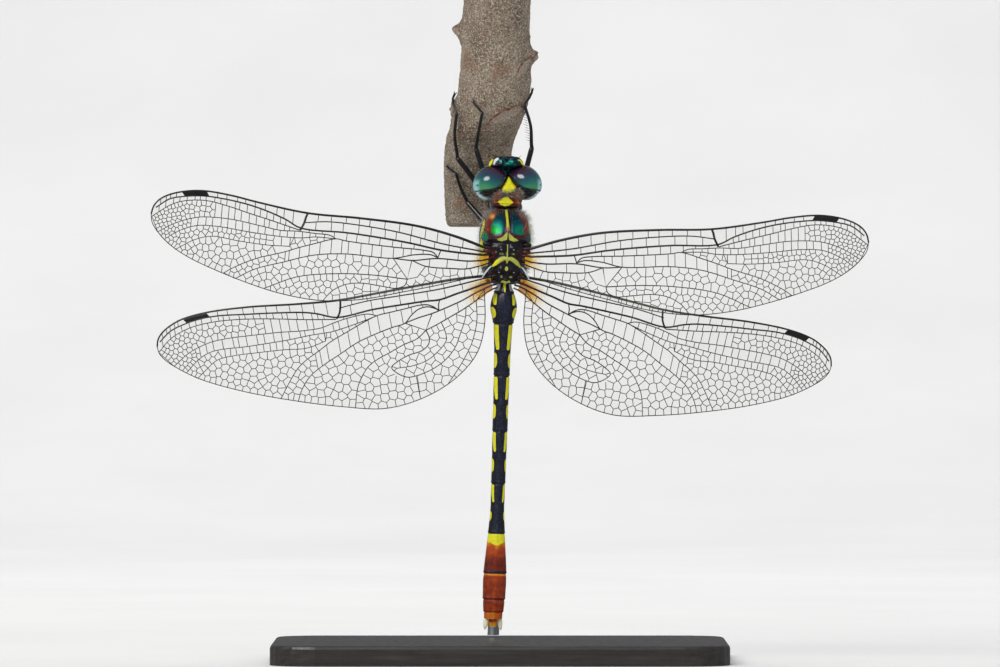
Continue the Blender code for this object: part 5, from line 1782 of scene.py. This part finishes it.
def cream_material():
    return cloudy("tail_cream", dict(size=0.4, detail=4),
                  ((0.3, (0.80, 0.72, 0.42)), (0.6, (0.92, 0.89, 0.68))),
                  (dict(size=0.08), 0.4, 0.02), Roughness=0.4)


def hair_material(name, dark, light):
    paint = Paint(name, Roughness=0.5)
    tint = paint.sum(paint.read("tint"), paint.swing(paint.noise(0.6), 0.3))
    paint.colour(paint.colours(tint, ((0.0, dark), (1.0, light))))
    return paint.material


def bark_material():
    paint = Paint("bark", Roughness=0.85)
    broad = paint.noise(2.6, detail=5, rough=0.6)
    speck = paint.noise(0.20, detail=2, rough=0.6)
    grain = paint.cells(0.24)
    colour = paint.colours(broad, ((0.30, (0.130, 0.094, 0.062)), (0.50, (0.235, 0.180, 0.125)),
                                   (0.72, (0.340, 0.275, 0.210))))
    pale = paint.ramp(speck, 0.50, 0.62)
    colour = paint.over(colour, pale, 0.75, (0.52, 0.46, 0.38))
    dark = paint.ramp(grain, 0.40, 0.16)
    colour = paint.over(colour, dark, 0.85, (0.045, 0.030, 0.024))
    rust = paint.ramp(paint.noise(3.0, detail=4), 0.56, 0.70)
    colour = paint.over(colour, rust, 0.5, (0.25, 0.12, 0.075))
    plate = paint.ramp(paint.sum(paint.read("scar"), paint.swing(speck, 0.5)), -0.05, 0.15)
    colour = paint.over(colour, plate, 0.38, (0.50, 0.40, 0.33))
    rim = paint.ramp(paint.sum(paint.read("rim"), paint.swing(speck, 0.3)), -0.02, 0.05)
    broken = paint.ramp(paint.noise(0.55, detail=3), 0.40, 0.55, 0.25, 1.0)
    colour = paint.over(colour, rim, broken, (0.15, 0.040, 0.022))
    end = paint.read("end")
    cut = paint.ramp(end, 0.9, 1.0)
    rings = paint.sum(paint.sum(paint.times(end, 55.0), paint.times(speck, 2.0)), 0.0, "SINE")
    wood = paint.colours(paint.ramp(rings, -1.0, 1.0), ((0.0, (0.42, 0.29, 0.16)),
                                                        (1.0, (0.60, 0.47, 0.30))))
    heart = paint.mix(paint.ramp(end, 1.86, 1.93), wood, (0.20, 0.12, 0.06))
    heart = paint.mix(paint.ramp(end, 1.14, 1.06), heart, (0.14, 0.09, 0.055))
    paint.colour(paint.mix(cut, colour, heart))
    paint.bump(paint.sum(speck, paint.times(grain, 0.8)), 0.9, 0.14)
    return paint.material


def base_material():
    return cloudy("stand_base_finish",
                  dict(size=1.2, detail=5, rough=0.6, stretch=(0.12, 2.2, 2.2), bend=0.4),
                  ((0.30, (0.018, 0.016, 0.015)), (0.55, (0.034, 0.030, 0.027)),
                   (0.80, (0.060, 0.050, 0.042))),
                  (dict(size=0.35, detail=3, stretch=(0.15, 2.0, 2.0)), 0.35, 0.03),
                  (dict(size=0.8, detail=4), 0.3, 0.7, 0.34, 0.50),
                  Coat_Weight=0.15, Coat_Roughness=0.3)


def rod_material():
    paint = Paint("stand_rod_finish", Metallic=1.0)
    brushed = paint.noise(0.35, detail=4, stretch=(3.0, 3.0, 0.08))
    paint.colour(paint.colours(brushed, ((0.3, (0.46, 0.46, 0.47)), (0.7, (0.62, 0.62, 0.63)))))
    paint.drive("Roughness", paint.ramp(brushed, 0.3, 0.7, 0.20, 0.34))
    paint.bump(brushed, 0.3, 0.01)
    return paint.material


def refinish(node, paint):
    """Gives a solid that stays as it is its finished material."""
    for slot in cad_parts[node].material_slots:
        slot.material = paint


# ---------------------------------------------------------------- stage, light, camera

CAMERA_DISTANCE = 1000.0
CAMERA_HEIGHT = 36.0
VIEW_WIDTH = 110.0                       # what the view spans at the twig's middle
SENSOR = 36.0
STAGE_FRONT, STAGE_BACK, STAGE_BEND, STAGE_HALF = 1600.0, 500.0, 600.0, 2600.0
# Lights: place, what they face, size, watts, colour. Only the first is seen in gloss.
MODEL_MIDDLE = (0.0, 0.0, 40.0)
WHITE = (1.0, 1.0, 1.0)
LIGHTS = (
    ("key", (-470, -600, 600), MODEL_MIDDLE, (760, 460), 6.2, (1.0, 0.98, 0.95)),
    ("fill", (620, -620, 260), MODEL_MIDDLE, (600, 600), 2.0, (0.93, 0.96, 1.0)),
    ("top", (0, 250, 800), MODEL_MIDDLE, (900, 700), 2.0, WHITE),
    ("backdrop", (0, 260, 900), (0, 1000, 200), (1200, 500), 6.6, WHITE))


def build_camera():
    camera = bpy.data.cameras.new("camera")
    camera.sensor_width = SENSOR
    camera.lens = SENSOR * CAMERA_DISTANCE / VIEW_WIDTH
    camera.clip_start = 0.01
    camera.clip_end = 20.0
    made = add_object("camera", camera)
    made.location = (0.0, -CAMERA_DISTANCE * MM, CAMERA_HEIGHT * MM)
    made.rotation_euler = (math.radians(90.0), 0.0, 0.0)
    bpy.context.scene.camera = made


def stage_material():
    paint = Paint("stage", Roughness=0.9)
    paint.colour(paint.colours(paint.noise(60.0), ((0.3, (0.70, 0.70, 0.69)),
                                                   (0.7, (0.74, 0.74, 0.73)))))
    behind = paint.node("ShaderNodeNewGeometry").outputs["Backfacing"]
    paint.drive("Alpha", paint.sum(1.0, behind, "SUBTRACT"))
    return paint.material


def build_stage():
    """A pale floor that curves up into a backdrop far behind, clear when seen from its back."""
    turns = np.linspace(0, math.pi / 2, 24)
    profile = [(-STAGE_FRONT, 0.0), (STAGE_BACK, 0.0)]
    profile += [(STAGE_BACK + STAGE_BEND * math.sin(a), STAGE_BEND * (1 - math.cos(a)))
                for a in turns[1:]]
    profile.append((STAGE_BACK + STAGE_BEND, STAGE_HALF))
    points = [(x, y, z) for y, z in profile for x in (-STAGE_HALF, STAGE_HALF)]
    mesh = make_mesh("stage", Shell().add(points, grid_faces(len(profile), 2)))
    made = add_object("stage", mesh, stage_material())
    made.visible_glossy = False


def build_lights():
    for name, place, aim, size, watts, colour in LIGHTS:
        light = bpy.data.lights.new(name, "AREA")
        light.shape = "ELLIPSE"
        light.size, light.size_y = (extent * MM for extent in size)
        light.energy = watts
        light.color = colour
        made = add_object(name, light)
        made.location = Vector(place) * MM
        made.rotation_euler = (Vector(aim) - Vector(place)).to_track_quat("-Z", "Y").to_euler()
        made.visible_glossy = name == "key"
    world = bpy.data.worlds.new("world")
    world.use_nodes = True
    sky = world.node_tree.nodes["Background"].inputs
    sky["Color"].default_value = (0.80, 0.84, 0.90, 1.0)
    sky["Strength"].default_value = 0.26
    bpy.context.scene.world = world


def main():
    bpy.context.scene.view_settings.view_transform = "Standard"
    build_camera()
    build_stage()
    build_lights()
    build_wings()
    black = black_material()
    build_skin(chitin_material())
    build_eyes(eye_material())
    build_feelers(black)
    build_tail(cream_material())
    build_legs(black)
    thorax_hair(hair_material("hair_grey", (0.20, 0.18, 0.16), (0.66, 0.63, 0.59)))
    head_hair(hair_material("hair_brown", (0.06, 0.042, 0.03), (0.74, 0.70, 0.60)))
    build_twig(bark_material())
    refinish("stand_base", base_material())
    refinish("stand_rod", rod_material())


main()
